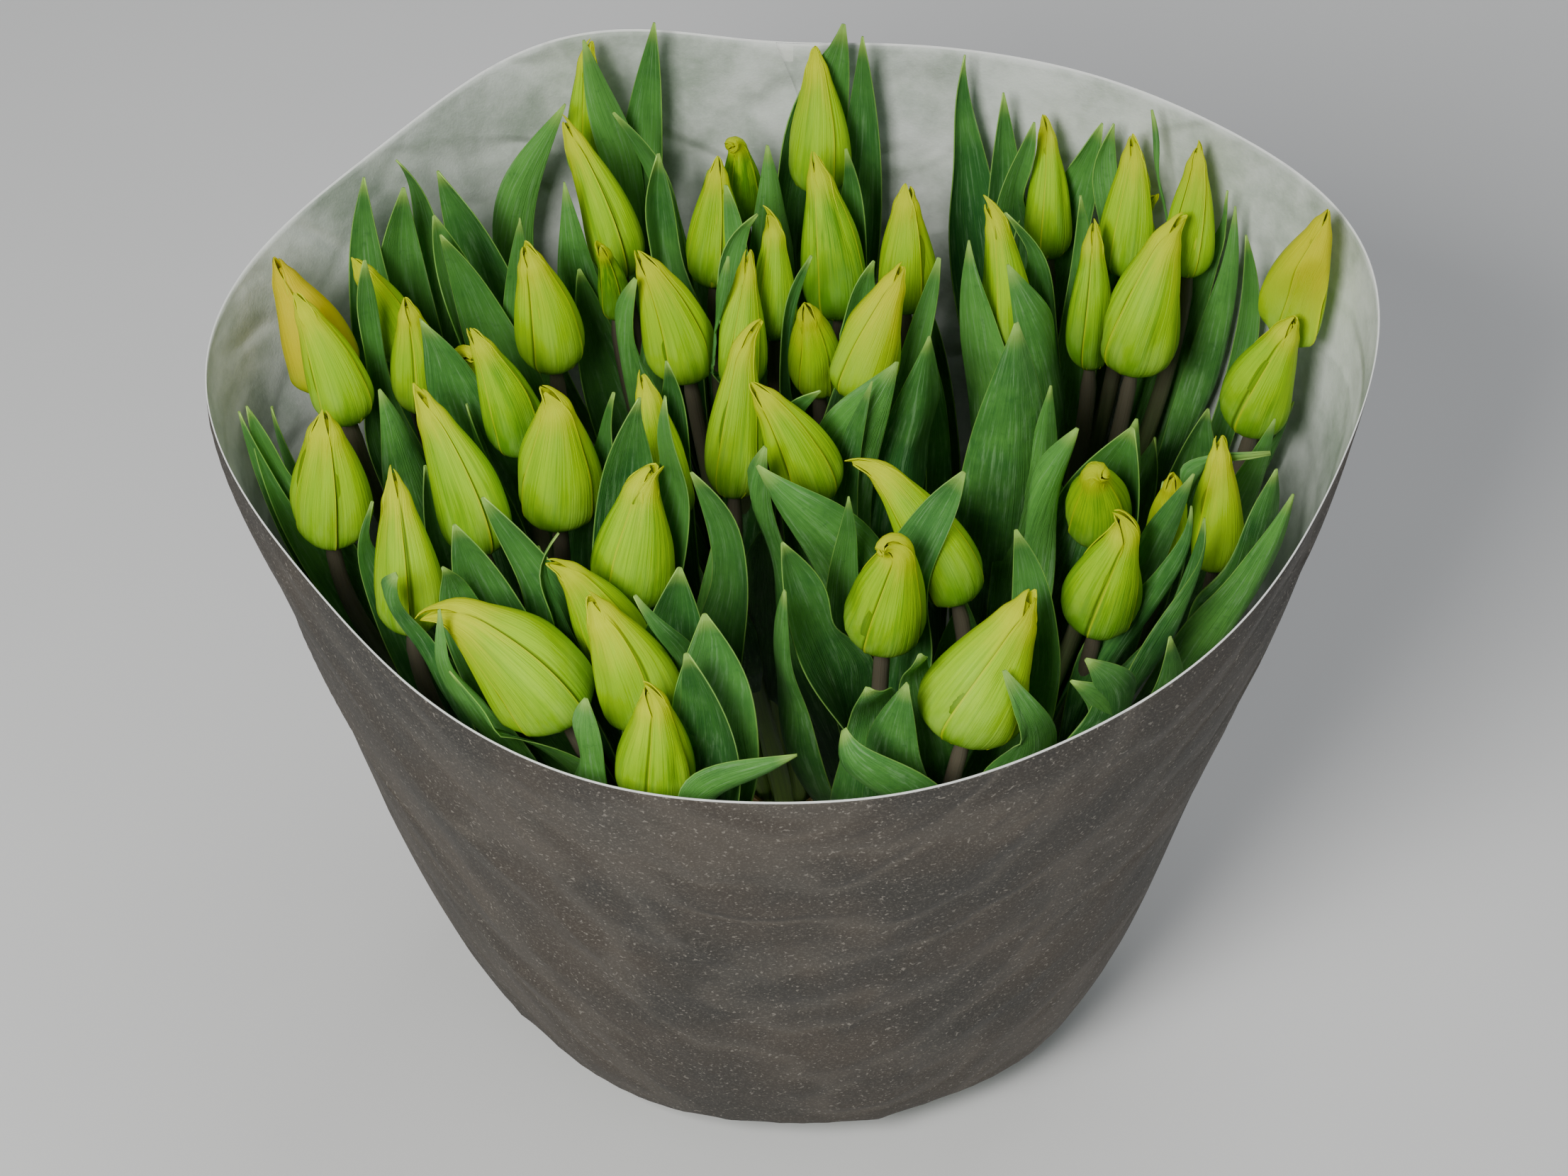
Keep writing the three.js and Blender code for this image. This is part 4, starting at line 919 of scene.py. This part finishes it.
def make_leafy_stems(bunch, bundle, leaf_finish, stem_finish):
    """The stems of one bundle, and the leaves that stand on them."""
    body = Body()
    faces = shell_faces(LEAF_ROWS, LEAF_COLUMNS)
    for tulip in (t for t in bunch.tulips if t.bundle == bundle):
        path = tulip.stem
        radii = mix(*STEM_RADIUS, np.linspace(0, 1, len(path)))
        path = np.vstack([path[:1], path[:1] + [0, 0, 0.3 * MM], path[1:]])
        radii = np.concatenate([[0.2 * MM, radii[0]], radii[1:]])
        radii[-1] = STEM_TOP
        points, quads, uv = tube(path, radii, STEM_SIDES)
        body.add(points, quads, uv, finish=1, tone=draw(tulip.number + 50))
        for leaf in tulip.leaves:
            outside, inside, uv = leaf_surface(bunch, tulip, leaf)
            inner = np.repeat([0.0, 1.0], len(outside))
            points, tone = np.vstack([outside, inside]), draw(leaf["seed"] + 7)
            body.add(points, faces, np.vstack([uv, uv]), tone=tone, inner=inner)
    piece = body.make(f"stems_and_leaves_{bundle}", [leaf_finish, stem_finish])
    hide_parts(f"leafy_stems_{bundle}")


# ---- sleeve ------------------------------------------------------------------------------------

HEM_HEIGHT = 30 * MM
PAPER = 0.5 * MM
PAPER_GAP = 0.7 * MM  # between the paper and the wall that holds the tulips
SLEEVE_GRID = (100, 480)  # rows and columns
OUTER_EDGE = math.radians(84)  # where the sheet's outer edge stands, at the back
LAP = (0.06, 0.125)  # radians that the sheet laps over itself: low down, and at the rim
LAP_SLANT = 0.75  # how soon the lap narrows below the rim
FOLD_WAVES = (5, 8, 13, 21, 34)  # how many folds of each size run round the sleeve
CREASE_COUNT = 64
STRIP_TURNS = (1.2462, 1.2636)  # where the white strip on the lap begins and ends, in turns
STRIP_FOOT = 0.974  # share of the rim's height at its foot


def crease(x, y, slant, length, width):
    """A ridge that runs through (0, 0) at a slant and dies away: e^-(across / width) times
    e^-(along / length)^2."""
    along = x * math.cos(slant) + y * math.sin(slant)
    across = y * math.cos(slant) - x * math.sin(slant)
    return np.exp(-np.hypot(across, 0.3 * width) / width - (along / length) ** 2)


def paper_folds(turn, share, rim, fold_depth):
    """How far the paper stands out: soft upright folds, deepest low down, each a sum of sharp
    waves (1 - |sin|)^2, and creases that slant down towards the front."""
    chance = np.random.default_rng(7)
    folds = 0
    for n in FOLD_WAVES:
        phase, lean = chance.uniform(0, FULL_TURN), chance.uniform(-1.2, 1.2)
        ridge = 1 - np.abs(np.sin(n * turn / 2 + phase + lean * share * 2))
        folds = folds + ridge**2 / n**0.6
    folds = folds * fold_depth * (1 - 0.75 * ease(0.3, 1, share))
    for _ in range(CREASE_COUNT):
        place, height = chance.uniform(0, FULL_TURN), chance.uniform(0.25, 0.97)
        slant = math.radians(chance.uniform(18, 68)) * (1 if math.cos(place) > 0 else -1)
        length, width = chance.uniform(30, 110) * MM, chance.uniform(3, 11) * MM
        apart = (turn - place + math.pi) % FULL_TURN - math.pi
        ridge = crease(0.2 * apart, (share - height) * rim, slant, length, width)
        folds = folds + ridge * chance.uniform(0.3, 1.0) * fold_depth
    return folds * ease(0, 0.04, 1.005 - share)


def make_sleeve(bunch, finish, fold_depth):
    """One sheet of paper rolled to a taper: round it runs the turn, from its outer edge at the
    back past a full turn to its lapped inner edge, and up it the share of the rim's height."""
    rows, columns = SLEEVE_GRID
    share = np.linspace(0, 1, rows)[:, None]
    lap = np.maximum(LAP[0], LAP[1] - LAP_SLANT * (1 - share))
    turn = OUTER_EDGE + np.linspace(0, 1, columns)[None, :] * (FULL_TURN + lap)
    rim = bunch.wall.rim_height(turn)
    z = mix(HEM_HEIGHT, rim, share)
    reach = bunch.wall.reach(turn, z) + PAPER_GAP
    reach = reach + paper_folds(turn, share, rim, fold_depth)
    # The inner edge steps in by 1 mm, under the outer one.
    reach = reach - ease(FULL_TURN - 0.02, FULL_TURN + 0.03, turn - OUTER_EDGE) * MM

    def place_at(distance):
        across = np.stack([distance * np.cos(turn), distance * np.sin(turn)], -1) + AXIS
        return np.concatenate([across, z[..., None]], -1).reshape(-1, 3)

    uv = np.stack(np.broadcast_arrays(turn / FULL_TURN, share), -1).reshape(-1, 2)
    body = Body()
    inner = np.repeat([0.0, 1.0], len(uv))
    points = np.vstack([place_at(reach + PAPER), place_at(reach)])
    body.add(points, shell_faces(rows, columns), np.vstack([uv, uv]), inner=inner)
    piece = body.make("sleeve_of_paper", [finish])
    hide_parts("paper_sleeve")


# ---- finishes ----------------------------------------------------------------------------------


class Wire:
    """A node's output that Python's operators work on: each operator adds its Math node."""

    def __init__(self, finish, socket):
        self.finish = finish
        self.socket = socket

    def math(self, operation, *values):
        return self.finish.node("ShaderNodeMath", {"operation": operation}, dict(enumerate(values)))

    def __add__(self, other):
        return self.math("ADD", self, other)

    def __sub__(self, other):
        return self.math("SUBTRACT", self, other)

    def __rsub__(self, other):
        return self.math("SUBTRACT", other, self)

    def __mul__(self, other):
        return self.math("MULTIPLY", self, other)

    def __pow__(self, other):
        return self.math("POWER", self, other)

    def __abs__(self):
        return self.math("ABSOLUTE", self)

    __radd__ = __add__
    __rmul__ = __mul__

    def ease(self, low, high):
        """0 below low, 1 above high, smooth between. low may be the larger."""
        settings = {"interpolation_type": "SMOOTHSTEP"}
        return self.finish.node("ShaderNodeMapRange", settings, {0: self, 1: low, 2: high})


class Finish:
    """A node material: one Principled shader, with what is the same all over set on it."""

    def __init__(self, name, **constants):
        self.material = bpy.data.materials.new(name)
        self.material.use_nodes = True
        self.tree = self.material.node_tree
        self.shader = self.tree.nodes["Principled BSDF"]
        for label, value in constants.items():
            self.shader.inputs[label.replace("_", " ")].default_value = value

    def feed(self, socket, value):
        if isinstance(value, Wire):
            self.tree.links.new(value.socket, socket)
        elif socket.type == "RGBA":
            socket.default_value = (*value, 1)
        else:
            socket.default_value = value

    def node(self, kind, settings=None, inputs=None, output=0):
        """Adds a node, sets its settings, then feeds its sockets with wires or values."""
        node = self.tree.nodes.new(kind)
        for label, value in (settings or {}).items():
            setattr(node, label, value)
        for label, value in (inputs or {}).items():
            self.feed(node.inputs[label], value)
        return Wire(self, node.outputs[output])

    def mix(self, share, first, second):
        """The first colour where share is 0 and the second where it is 1."""
        inputs = {0: share, 6: first, 7: second}
        return self.node("ShaderNodeMix", {"data_type": "RGBA"}, inputs, 2)

    def value(self, label):
        """A value that the mesh holds at each vertex."""
        return self.node("ShaderNodeAttribute", {"attribute_name": label}, output="Fac")

    def across_and_along(self):
        """The two coordinates of the piece's own UV map."""
        uv = self.node("ShaderNodeUVMap", {"uv_map": "surface"})
        return [self.node("ShaderNodeSeparateXYZ", None, {0: uv}, k) for k in (0, 1)]

    def noise(self, vector, scale, detail=3.0, roughness=0.55):
        inputs = {"Vector": vector, "Scale": scale, "Detail": detail, "Roughness": roughness}
        return self.node("ShaderNodeTexNoise", None, inputs)

    def vector(self, x, y, z):
        return self.node("ShaderNodeCombineXYZ", None, {0: x, 1: y, 2: z})

    def place(self):
        """Where the surface is in the part's own frame, in metres."""
        return self.node("ShaderNodeTexCoord", output="Object")

    def bump(self, height, distance, strength=1.0):
        inputs = {"Height": height, "Distance": distance, "Strength": strength}
        self.feed(self.shader.inputs["Normal"], self.node("ShaderNodeBump", None, inputs))

    def paint(self, color, roughness):
        """The material, with its colour and roughness fed in."""
        self.feed(self.shader.inputs["Base Color"], color)
        self.feed(self.shader.inputs["Roughness"], roughness)
        return self.material


def petal_finish(colours):
    """Living petal: green with a pale bloom at the foot, lime in the middle and yellow at the
    tip, with fine lengthwise streaks, a greener middle rib, a thin pale edge, a painted shade
    line where a neighbour's edge lies over it, and painted shade on the inner petals and on
    the petals' inner sides below the tip."""
    f = Finish(
        "petal", Subsurface_Weight=0.12, Subsurface_Scale=0.003, Specular_IOR_Level=0.15,
        Subsurface_Radius=(0.7, 1.0, 0.1),
    )
    across, along = f.across_and_along()
    tone, inner, lap = (f.value(label) for label in ("tone", "inner", "lap"))
    u = abs(across - 0.5) * 2
    streaks = f.noise(f.vector(across * 34, along * 1.6, tone * 31), 1.0, 4.0, 0.6)
    patches = f.noise(f.vector(across * 3, along * 2.2, tone * 17), 1.6, 3.0)
    rib = 1 - u.ease(0.0, 0.5)
    # Painted shade: a dark line just inside where a neighbour's edge lies over the petal, fading
    # towards the tip.
    groove = (1 - abs(u - lap + 0.02).ease(0.0, 0.06)) * (1 - along.ease(0.75, 0.92))
    level = along + (patches - 0.5) * 0.5 + tone * 0.3
    body = f.mix(level.ease(-0.05, 0.5), colours.petal_foot, colours.petal_body)
    body = f.mix(level.ease(0.55, 1.1), body, colours.petal_tip)
    green = rib * 0.3 + (streaks - 0.42).ease(0.0, 0.25) * 0.5
    green = green * (1 - along.ease(0.7, 1.0)) * (1 - tone.ease(-0.1, 0.8))
    leafy = (0 - tone).ease(0.2, 1.0) * (patches.ease(0.4, 0.6) * 0.9)
    green = green + leafy * (1 - along.ease(0.9, 1))
    body = f.mix(green, body, colours.petal_foot)
    bloom = patches.ease(0.35, 0.7) * (1 - along.ease(0.1, 0.6)) * 0.3
    body = f.mix(bloom, body, colours.petal_bloom)
    body = f.mix(along.ease(0.7, 0.92) * 0.85, body, colours.petal_tip)
    ripe = tone.ease(0.3, 1.0) * (along + tone * 0.6).ease(0.4, 1.0)
    body = f.mix(ripe * 0.85, body, colours.petal_ripe)
    body = f.mix(u.ease(0.9, 1.0) * 0.7, body, colours.petal_tip)
    # Painted shade in the groove beside a neighbour's edge.
    body = f.mix(groove * 0.75, body, colours.petal_shade)
    # Painted shade on the inner petals and on the petals' inner sides, which lie hidden inside the
    # bud.
    body = f.mix(inner * (1 - along.ease(0.7, 0.9)) * 0.5, body, colours.petal_shade)
    f.bump(streaks + rib * 0.4 + patches, 0.0008, 0.6)
    return f.paint(body, 0.42 + streaks * 0.16)


def leaf_finish(colours):
    """Living leaf: deep green with a grey bloom in patches and streaks, fine parallel veins, a
    pale margin and a pale tip, and darker on the side that faces the bud."""
    f = Finish(
        "leaf", Subsurface_Weight=0.05, Subsurface_Scale=0.002, Specular_IOR_Level=0.3,
        Subsurface_Radius=(0.3, 1.0, 0.1),
    )
    across, along = f.across_and_along()
    tone, inner = f.value("tone"), f.value("inner")
    veins = f.noise(f.vector(across * 60, along * 2.5, tone * 41), 1.0, 3.0, 0.6)
    streaks = f.noise(f.vector(across * 16, along * 9, tone * 23), 1.0, 5.0, 0.7)
    patches = f.noise(f.place(), 30.0, 4.0, 0.6)
    fine = f.noise(f.place(), 300.0, 3.0, 0.65)
    u = abs(across - 0.5) * 2
    level = tone * 0.5 + (patches - 0.5) * 1.3 + (along - 0.6) * 0.6 + 0.25
    body = f.mix(level.ease(0.0, 1.0), colours.leaf_deep, colours.leaf_green)
    body = f.mix(streaks.ease(0.5, 0.68) * 0.45, body, colours.leaf_bloom)
    body = f.mix(veins.ease(0.5, 0.75) * 0.4, body, colours.leaf_green)
    body = f.mix(fine.ease(0.55, 0.75) * 0.3, body, colours.leaf_deep)
    body = f.mix(streaks.ease(0.5, 0.3) * 0.35, body, colours.leaf_deep)
    body = f.mix(inner * 0.2, body, colours.leaf_deep)
    body = f.mix(u.ease(0.97, 0.995) * 0.35, body, colours.leaf_pale)
    body = f.mix(along.ease(0.95, 0.995) * 0.7, body, colours.leaf_pale)
    f.bump(veins * 1.3 + fine * 0.4 + streaks * 0.5, 0.0007, 0.6)
    return f.paint(body, 0.4 + patches * 0.22)


def stem_finish(colours):
    """Stem: pale green below, flushed with purple under the bud and darker there as painted shade,
    and finely ribbed.
    """
    f = Finish("stem", Subsurface_Weight=0.06, Subsurface_Scale=0.003)
    across, along = f.across_and_along()
    ribs = f.noise(f.vector(across * 40, along * 3, f.value("tone") * 9), 1.0, 3.0)
    body = f.mix(ribs * (1 - along), colours.stem, colours.leaf_pale)
    # The neck's purple flush, darkened as painted shade under the bud.
    body = f.mix(along.ease(0.55, 0.9) * 0.8, body, colours.stem_flush_and_shade)
    f.bump(ribs, 0.0005, 0.6)
    return f.paint(body, 0.42 + ribs * 0.15)


def paper_finish(colours):
    """Kraft sleeve: charcoal outside with pale specks and pale lines along its creases, partly
    wear and partly painted highlight, grey-white inside with soft stain marks and greenish
    painted shade in patches, a white strip at the top of the lap, and a white cut edge."""
    f = Finish("sleeve_paper", Specular_IOR_Level=0.3)
    across, along = f.across_and_along()
    inner = f.value("inner")
    place = f.place()
    clouds = f.noise(place, 14.0, 4.0, 0.6)
    fibres = f.noise(place, 900.0, 3.0, 0.7)
    specks = f.noise(place, 620.0, 1.0, 0.4)
    # Noise that places the stain marks and the painted shade on the inside.
    stains_and_shade = f.noise(place, 26.0, 5.0, 0.65)
    x, y, z = (f.node("ShaderNodeSeparateXYZ", None, {0: place}, k) for k in range(3))
    aside = (x * x + 0.003) ** 0.5
    crumple = f.vector((z - aside) * 20, (z + aside) * 5, x * 11 + y * 6)
    crumple = f.noise(crumple, 1.0, 2.0, 0.45)
    bend = abs(crumple - 0.5).ease(0.0, 0.09)
    outside = f.mix(clouds.ease(0.3, 0.7), colours.paper_dark, colours.paper_brown)
    outside = f.mix(fibres.ease(0.45, 0.8) * 0.4, outside, colours.paper_speck)
    outside = f.mix(specks.ease(0.66, 0.72) * 0.6, outside, colours.paper_speck)
    # Paler lines along the creases of the outside: partly wear, partly painted highlight.
    outside = f.mix((1 - bend) * 0.1, outside, colours.paper_speck)
    # Stain marks and painted shade: greenish patches darken the inside.
    inside = f.mix(stains_and_shade.ease(0.3, 0.75), colours.paper_inside, colours.paper_stain_and_shade)
    inside = f.mix(fibres.ease(0.5, 0.8) * 0.2, inside, colours.paper_white)
    # Whiter lines along the creases of the inside: partly wear, partly painted highlight.
    inside = f.mix((1 - bend) * 0.25, inside, colours.paper_white)
    first, last = STRIP_TURNS
    strip = across.ease(first, first + 0.0004) * (1 - across.ease(last - 0.0004, last))
    strip = strip * along.ease(STRIP_FOOT, STRIP_FOOT + 0.001)
    inside = f.mix(strip, inside, colours.paper_white)
    body = f.mix(inner, outside, inside)
    body = f.mix(along.ease(0.9965, 0.9985), body, colours.paper_white)
    f.bump(fibres * 0.2 + stains_and_shade * 0.4 + bend * 1.2 + crumple * 3, 0.0016, 0.6)
    return f.paint(body, 0.62 + fibres * 0.25)


def elastic_finish(colours):
    """Tan rubber, with fine marks along the band and a dusty bloom."""
    f = Finish("elastic", Specular_IOR_Level=0.35)
    place = f.place()
    dust = f.noise(place, 180.0, 4.0, 0.6)
    body = f.mix(dust.ease(0.35, 0.7), colours.elastic, colours.elastic_dust)
    f.bump(f.noise(place, 700.0, 2.0), 0.0002, 0.6)
    return f.paint(body, 0.5 + dust * 0.25)


def floor_finish():
    f = Finish("floor", Specular_IOR_Level=0.2)
    grain = f.noise(f.place(), 6.0, 2.0)
    return f.paint(f.mix(grain, (0.80, 0.80, 0.80), (0.84, 0.84, 0.835)), 0.7 + grain * 0.1)


# ---- settings ----------------------------------------------------------------------------------


def colour(name, description, screen):
    return FloatVectorProperty(
        name=name, description=description, default=rgb(*screen), subtype="COLOR", min=0, max=1
    )


class TulipColours(bpy.types.PropertyGroup):
    """Colours of the bunch's finishes."""

    petal_foot: colour("Petal foot", "Green at the foot of a bud", (92, 150, 14))
    petal_bloom: colour("Petal bloom", "Pale bloom low on a bud", (164, 204, 110))
    petal_body: colour("Petal", "Lime of a bud's side", (166, 214, 0))
    petal_tip: colour("Petal tip", "Yellow of a bud's tip and petal edges", (208, 220, 0))
    petal_ripe: colour("Ripe petal", "Orange-yellow of the ripest buds", (212, 190, 0))
    # Painted shade: the colour mixed into the petals' grooves and onto their hidden inner parts.
    petal_shade: colour("Petal shade", "Deep green in the grooves between petals", (44, 74, 0))
    leaf_deep: colour("Leaf shade", "Deep green of a leaf", (40, 98, 44))
    leaf_green: colour("Leaf", "Mid green of a leaf", (104, 170, 74))
    leaf_bloom: colour("Leaf bloom", "Grey-green bloom on a leaf", (150, 192, 140))
    leaf_pale: colour("Leaf margin", "Pale green of a leaf's margin and tip", (180, 222, 104))
    stem: colour("Stem", "Green of a stem", (88, 116, 66))
    # Purple flush of a stem's neck, made darker as painted shade under the buds.
    stem_flush_and_shade: colour("Stem flush", "Purple-brown of a stem's neck", (92, 74, 72))
    paper_dark: colour("Paper outside", "Charcoal of the sleeve", (59, 57, 53))
    paper_brown: colour("Paper outside, worn", "Browner charcoal of the sleeve", (74, 67, 59))
    paper_speck: colour("Paper specks", "Pale fibres in the charcoal", (150, 144, 134))
    paper_inside: colour("Paper inside", "Grey-white of the sleeve's inside", (226, 230, 226))
    # Greenish stain marks and painted shade in patches on the sleeve's inside.
    paper_stain_and_shade: colour("Paper inside, shaded", "Greenish stains inside", (160, 172, 158))
    paper_white: colour("Paper edge", "White of the cut edge", (236, 238, 234))
    elastic: colour("Elastic", "Tan of the elastic bands", (196, 150, 92))
    elastic_dust: colour("Elastic dust", "Dusty bloom on the bands", (212, 180, 132))


class TulipSizes(bpy.types.PropertyGroup):
    """Sizes of the bunch's finer pieces, in metres."""

    fold_depth: FloatProperty(
        name="Fold depth", description="How far the sleeve's folds stand out near its hem",
        default=2.6 * MM, min=0, soft_max=6 * MM, unit="LENGTH",
    )


class TULIPS_OT_buds(bpy.types.Operator):
    """Makes the flower buds, each from six lapped petals."""

    bl_idname = "tulips.buds"
    bl_label = "Flower Buds"

    def execute(self, context):
        finish = petal_finish(context.scene.tulip_colours)
        for tulip in BUNCH.tulips:
            make_bud(BUNCH, tulip, finish)
        return {"FINISHED"}


class TULIPS_OT_leafy_stems(bpy.types.Operator):
    """Makes the stems with their leaves, one piece for each banded bundle."""

    bl_idname = "tulips.leafy_stems"
    bl_label = "Leafy Stems"

    def execute(self, context):
        leaf = leaf_finish(context.scene.tulip_colours)
        stem = stem_finish(context.scene.tulip_colours)
        for bundle in BUNDLES:
            make_leafy_stems(BUNCH, bundle, leaf, stem)
        return {"FINISHED"}


class TULIPS_OT_sleeve(bpy.types.Operator):
    """Makes the paper sleeve."""

    bl_idname = "tulips.sleeve"
    bl_label = "Paper Sleeve"

    def execute(self, context):
        finish = paper_finish(context.scene.tulip_colours)
        make_sleeve(BUNCH, finish, context.scene.tulip_sizes.fold_depth)
        return {"FINISHED"}


class TULIPS_OT_bands(bpy.types.Operator):
    """Gives the elastic bands their rubber."""

    bl_idname = "tulips.bands"
    bl_label = "Elastic Bands"

    def execute(self, context):
        finish = elastic_finish(context.scene.tulip_colours)
        for bundle in BUNDLES:
            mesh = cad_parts[f"elastic_band_{bundle}"].data
            mesh.materials.clear()
            mesh.materials.append(finish)
        return {"FINISHED"}


# ---- stage -------------------------------------------------------------------------------------

PICTURE_WIDTH = 2212  # of the photograph's frame, in pixels
SENSOR = 36.0  # the camera's, in mm
VIEW_ZOOM = 0.92  # drawn back a little, so that the stems' ends show
VIEW_DROP = 120  # and lowered by these pixels, for the same reason
FLOOR_REACH = 6.0  # from its middle to its sides, in metres
FLOOR_CORNERS = ((-1, -1), (1, -1), (1, 1), (-1, 1))
SKY_TINT = (0.9, 0.95, 1.0)
SKY_STRENGTH = 0.2
LIT_PLACE = (0, 0, 0.3)  # the middle of the bunch, which the lamps face

# Each lamp's place and size in metres, its power in watts and its tint.
LAMPS = {
    "key": ((-0.55, -1.15, 1.6), 0.6, 33, (1.0, 0.99, 0.96)),
    "top": ((0.4, 0.6, 1.9), 1.2, 8, (0.98, 0.99, 1.0)),
    "fill": ((1.4, -1.1, 0.9), 1.2, 3.5, (0.96, 0.98, 1.0)),
}


def area_light(name, place, size, power, tint):
    """A soft square light that faces the middle of the bunch."""
    light = bpy.data.lights.new(name, "AREA")
    light.size = size
    light.energy = power
    light.color = tint
    lamp = bpy.data.objects.new(name, light)
    bpy.context.scene.collection.objects.link(lamp)
    lamp.matrix_world = looking(place, unit(np.subtract(place, LIT_PLACE)))


def looking(place, back):
    """The matrix of a camera or lamp at a place, with its back to the unit vector back."""
    side = unit(np.cross([0, 0, 1], back))
    above = np.cross(back, side)
    matrix = np.eye(4)
    matrix[:3] = np.column_stack([side, above, back, place])
    return Matrix(matrix.tolist())


class TULIPS_OT_stage(bpy.types.Operator):
    """Makes the floor, the lights and the camera at the photograph's viewing angle."""

    bl_idname = "tulips.stage"
    bl_label = "Stage"

    def execute(self, context):
        scene = context.scene
        mesh = bpy.data.meshes.new("floor")
        corners = [(x * FLOOR_REACH, y * FLOOR_REACH, 0) for x, y in FLOOR_CORNERS]
        mesh.from_pydata(corners, [], [(0, 1, 2, 3)])
        mesh.materials.append(floor_finish())
        floor = bpy.data.objects.new("floor", mesh)
        scene.collection.objects.link(floor)
        floor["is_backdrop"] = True

        world = bpy.data.worlds.new("studio")
        world.use_nodes = True
        sky = world.node_tree.nodes["Background"]
        sky.inputs["Color"].default_value = (*SKY_TINT, 1)
        sky.inputs["Strength"].default_value = SKY_STRENGTH
        scene.world = world
        for name, lamp in LAMPS.items():
            area_light(name, *lamp)

        camera = bpy.data.cameras.new("camera")
        camera.sensor_fit = "HORIZONTAL"
        camera.sensor_width = SENSOR
        camera.lens = SENSOR * VIEW_FOCAL * VIEW_ZOOM / PICTURE_WIDTH
        camera.shift_y = -VIEW_DROP / PICTURE_WIDTH
        shot = bpy.data.objects.new("camera", camera)
        shot.matrix_world = looking(EYE, AWAY)
        scene.collection.objects.link(shot)
        scene.camera = shot
        return {"FINISHED"}


class TULIPS_PT_panel(bpy.types.Panel):
    """Lists the steps that dress the bunch, with its colours and sizes."""

    bl_label = "Tulips"
    bl_idname = "TULIPS_PT_panel"
    bl_space_type = "VIEW_3D"
    bl_region_type = "UI"
    bl_category = "Tulips"

    def draw(self, context):
        for step in STEPS:
            self.layout.operator(step.bl_idname)
        for settings in (context.scene.tulip_sizes, context.scene.tulip_colours):
            for label in settings.bl_rna.properties.keys():
                if label not in ("rna_type", "name"):
                    self.layout.prop(settings, label)


STEPS = (
    TULIPS_OT_stage,
    TULIPS_OT_buds,
    TULIPS_OT_leafy_stems,
    TULIPS_OT_sleeve,
    TULIPS_OT_bands,
)
CLASSES = (TulipColours, TulipSizes, *STEPS, TULIPS_PT_panel)
BUNCH = Bunch()


def register():
    for item in CLASSES:
        bpy.utils.register_class(item)
    bpy.types.Scene.tulip_colours = PointerProperty(type=TulipColours)
    bpy.types.Scene.tulip_sizes = PointerProperty(type=TulipSizes)


def unregister():
    del bpy.types.Scene.tulip_sizes
    del bpy.types.Scene.tulip_colours
    for item in reversed(CLASSES):
        bpy.utils.unregister_class(item)


def main():
    register()
    bpy.ops.tulips.stage()
    bpy.ops.tulips.buds()
    bpy.ops.tulips.leafy_stems()
    bpy.ops.tulips.sleeve()
    bpy.ops.tulips.bands()
    boxes = {"cad": CAD_BOX, "visual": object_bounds()}
    {name: [list(corner) for corner in box] for name, box in boxes.items()}


if __name__ == "__main__":
    main()
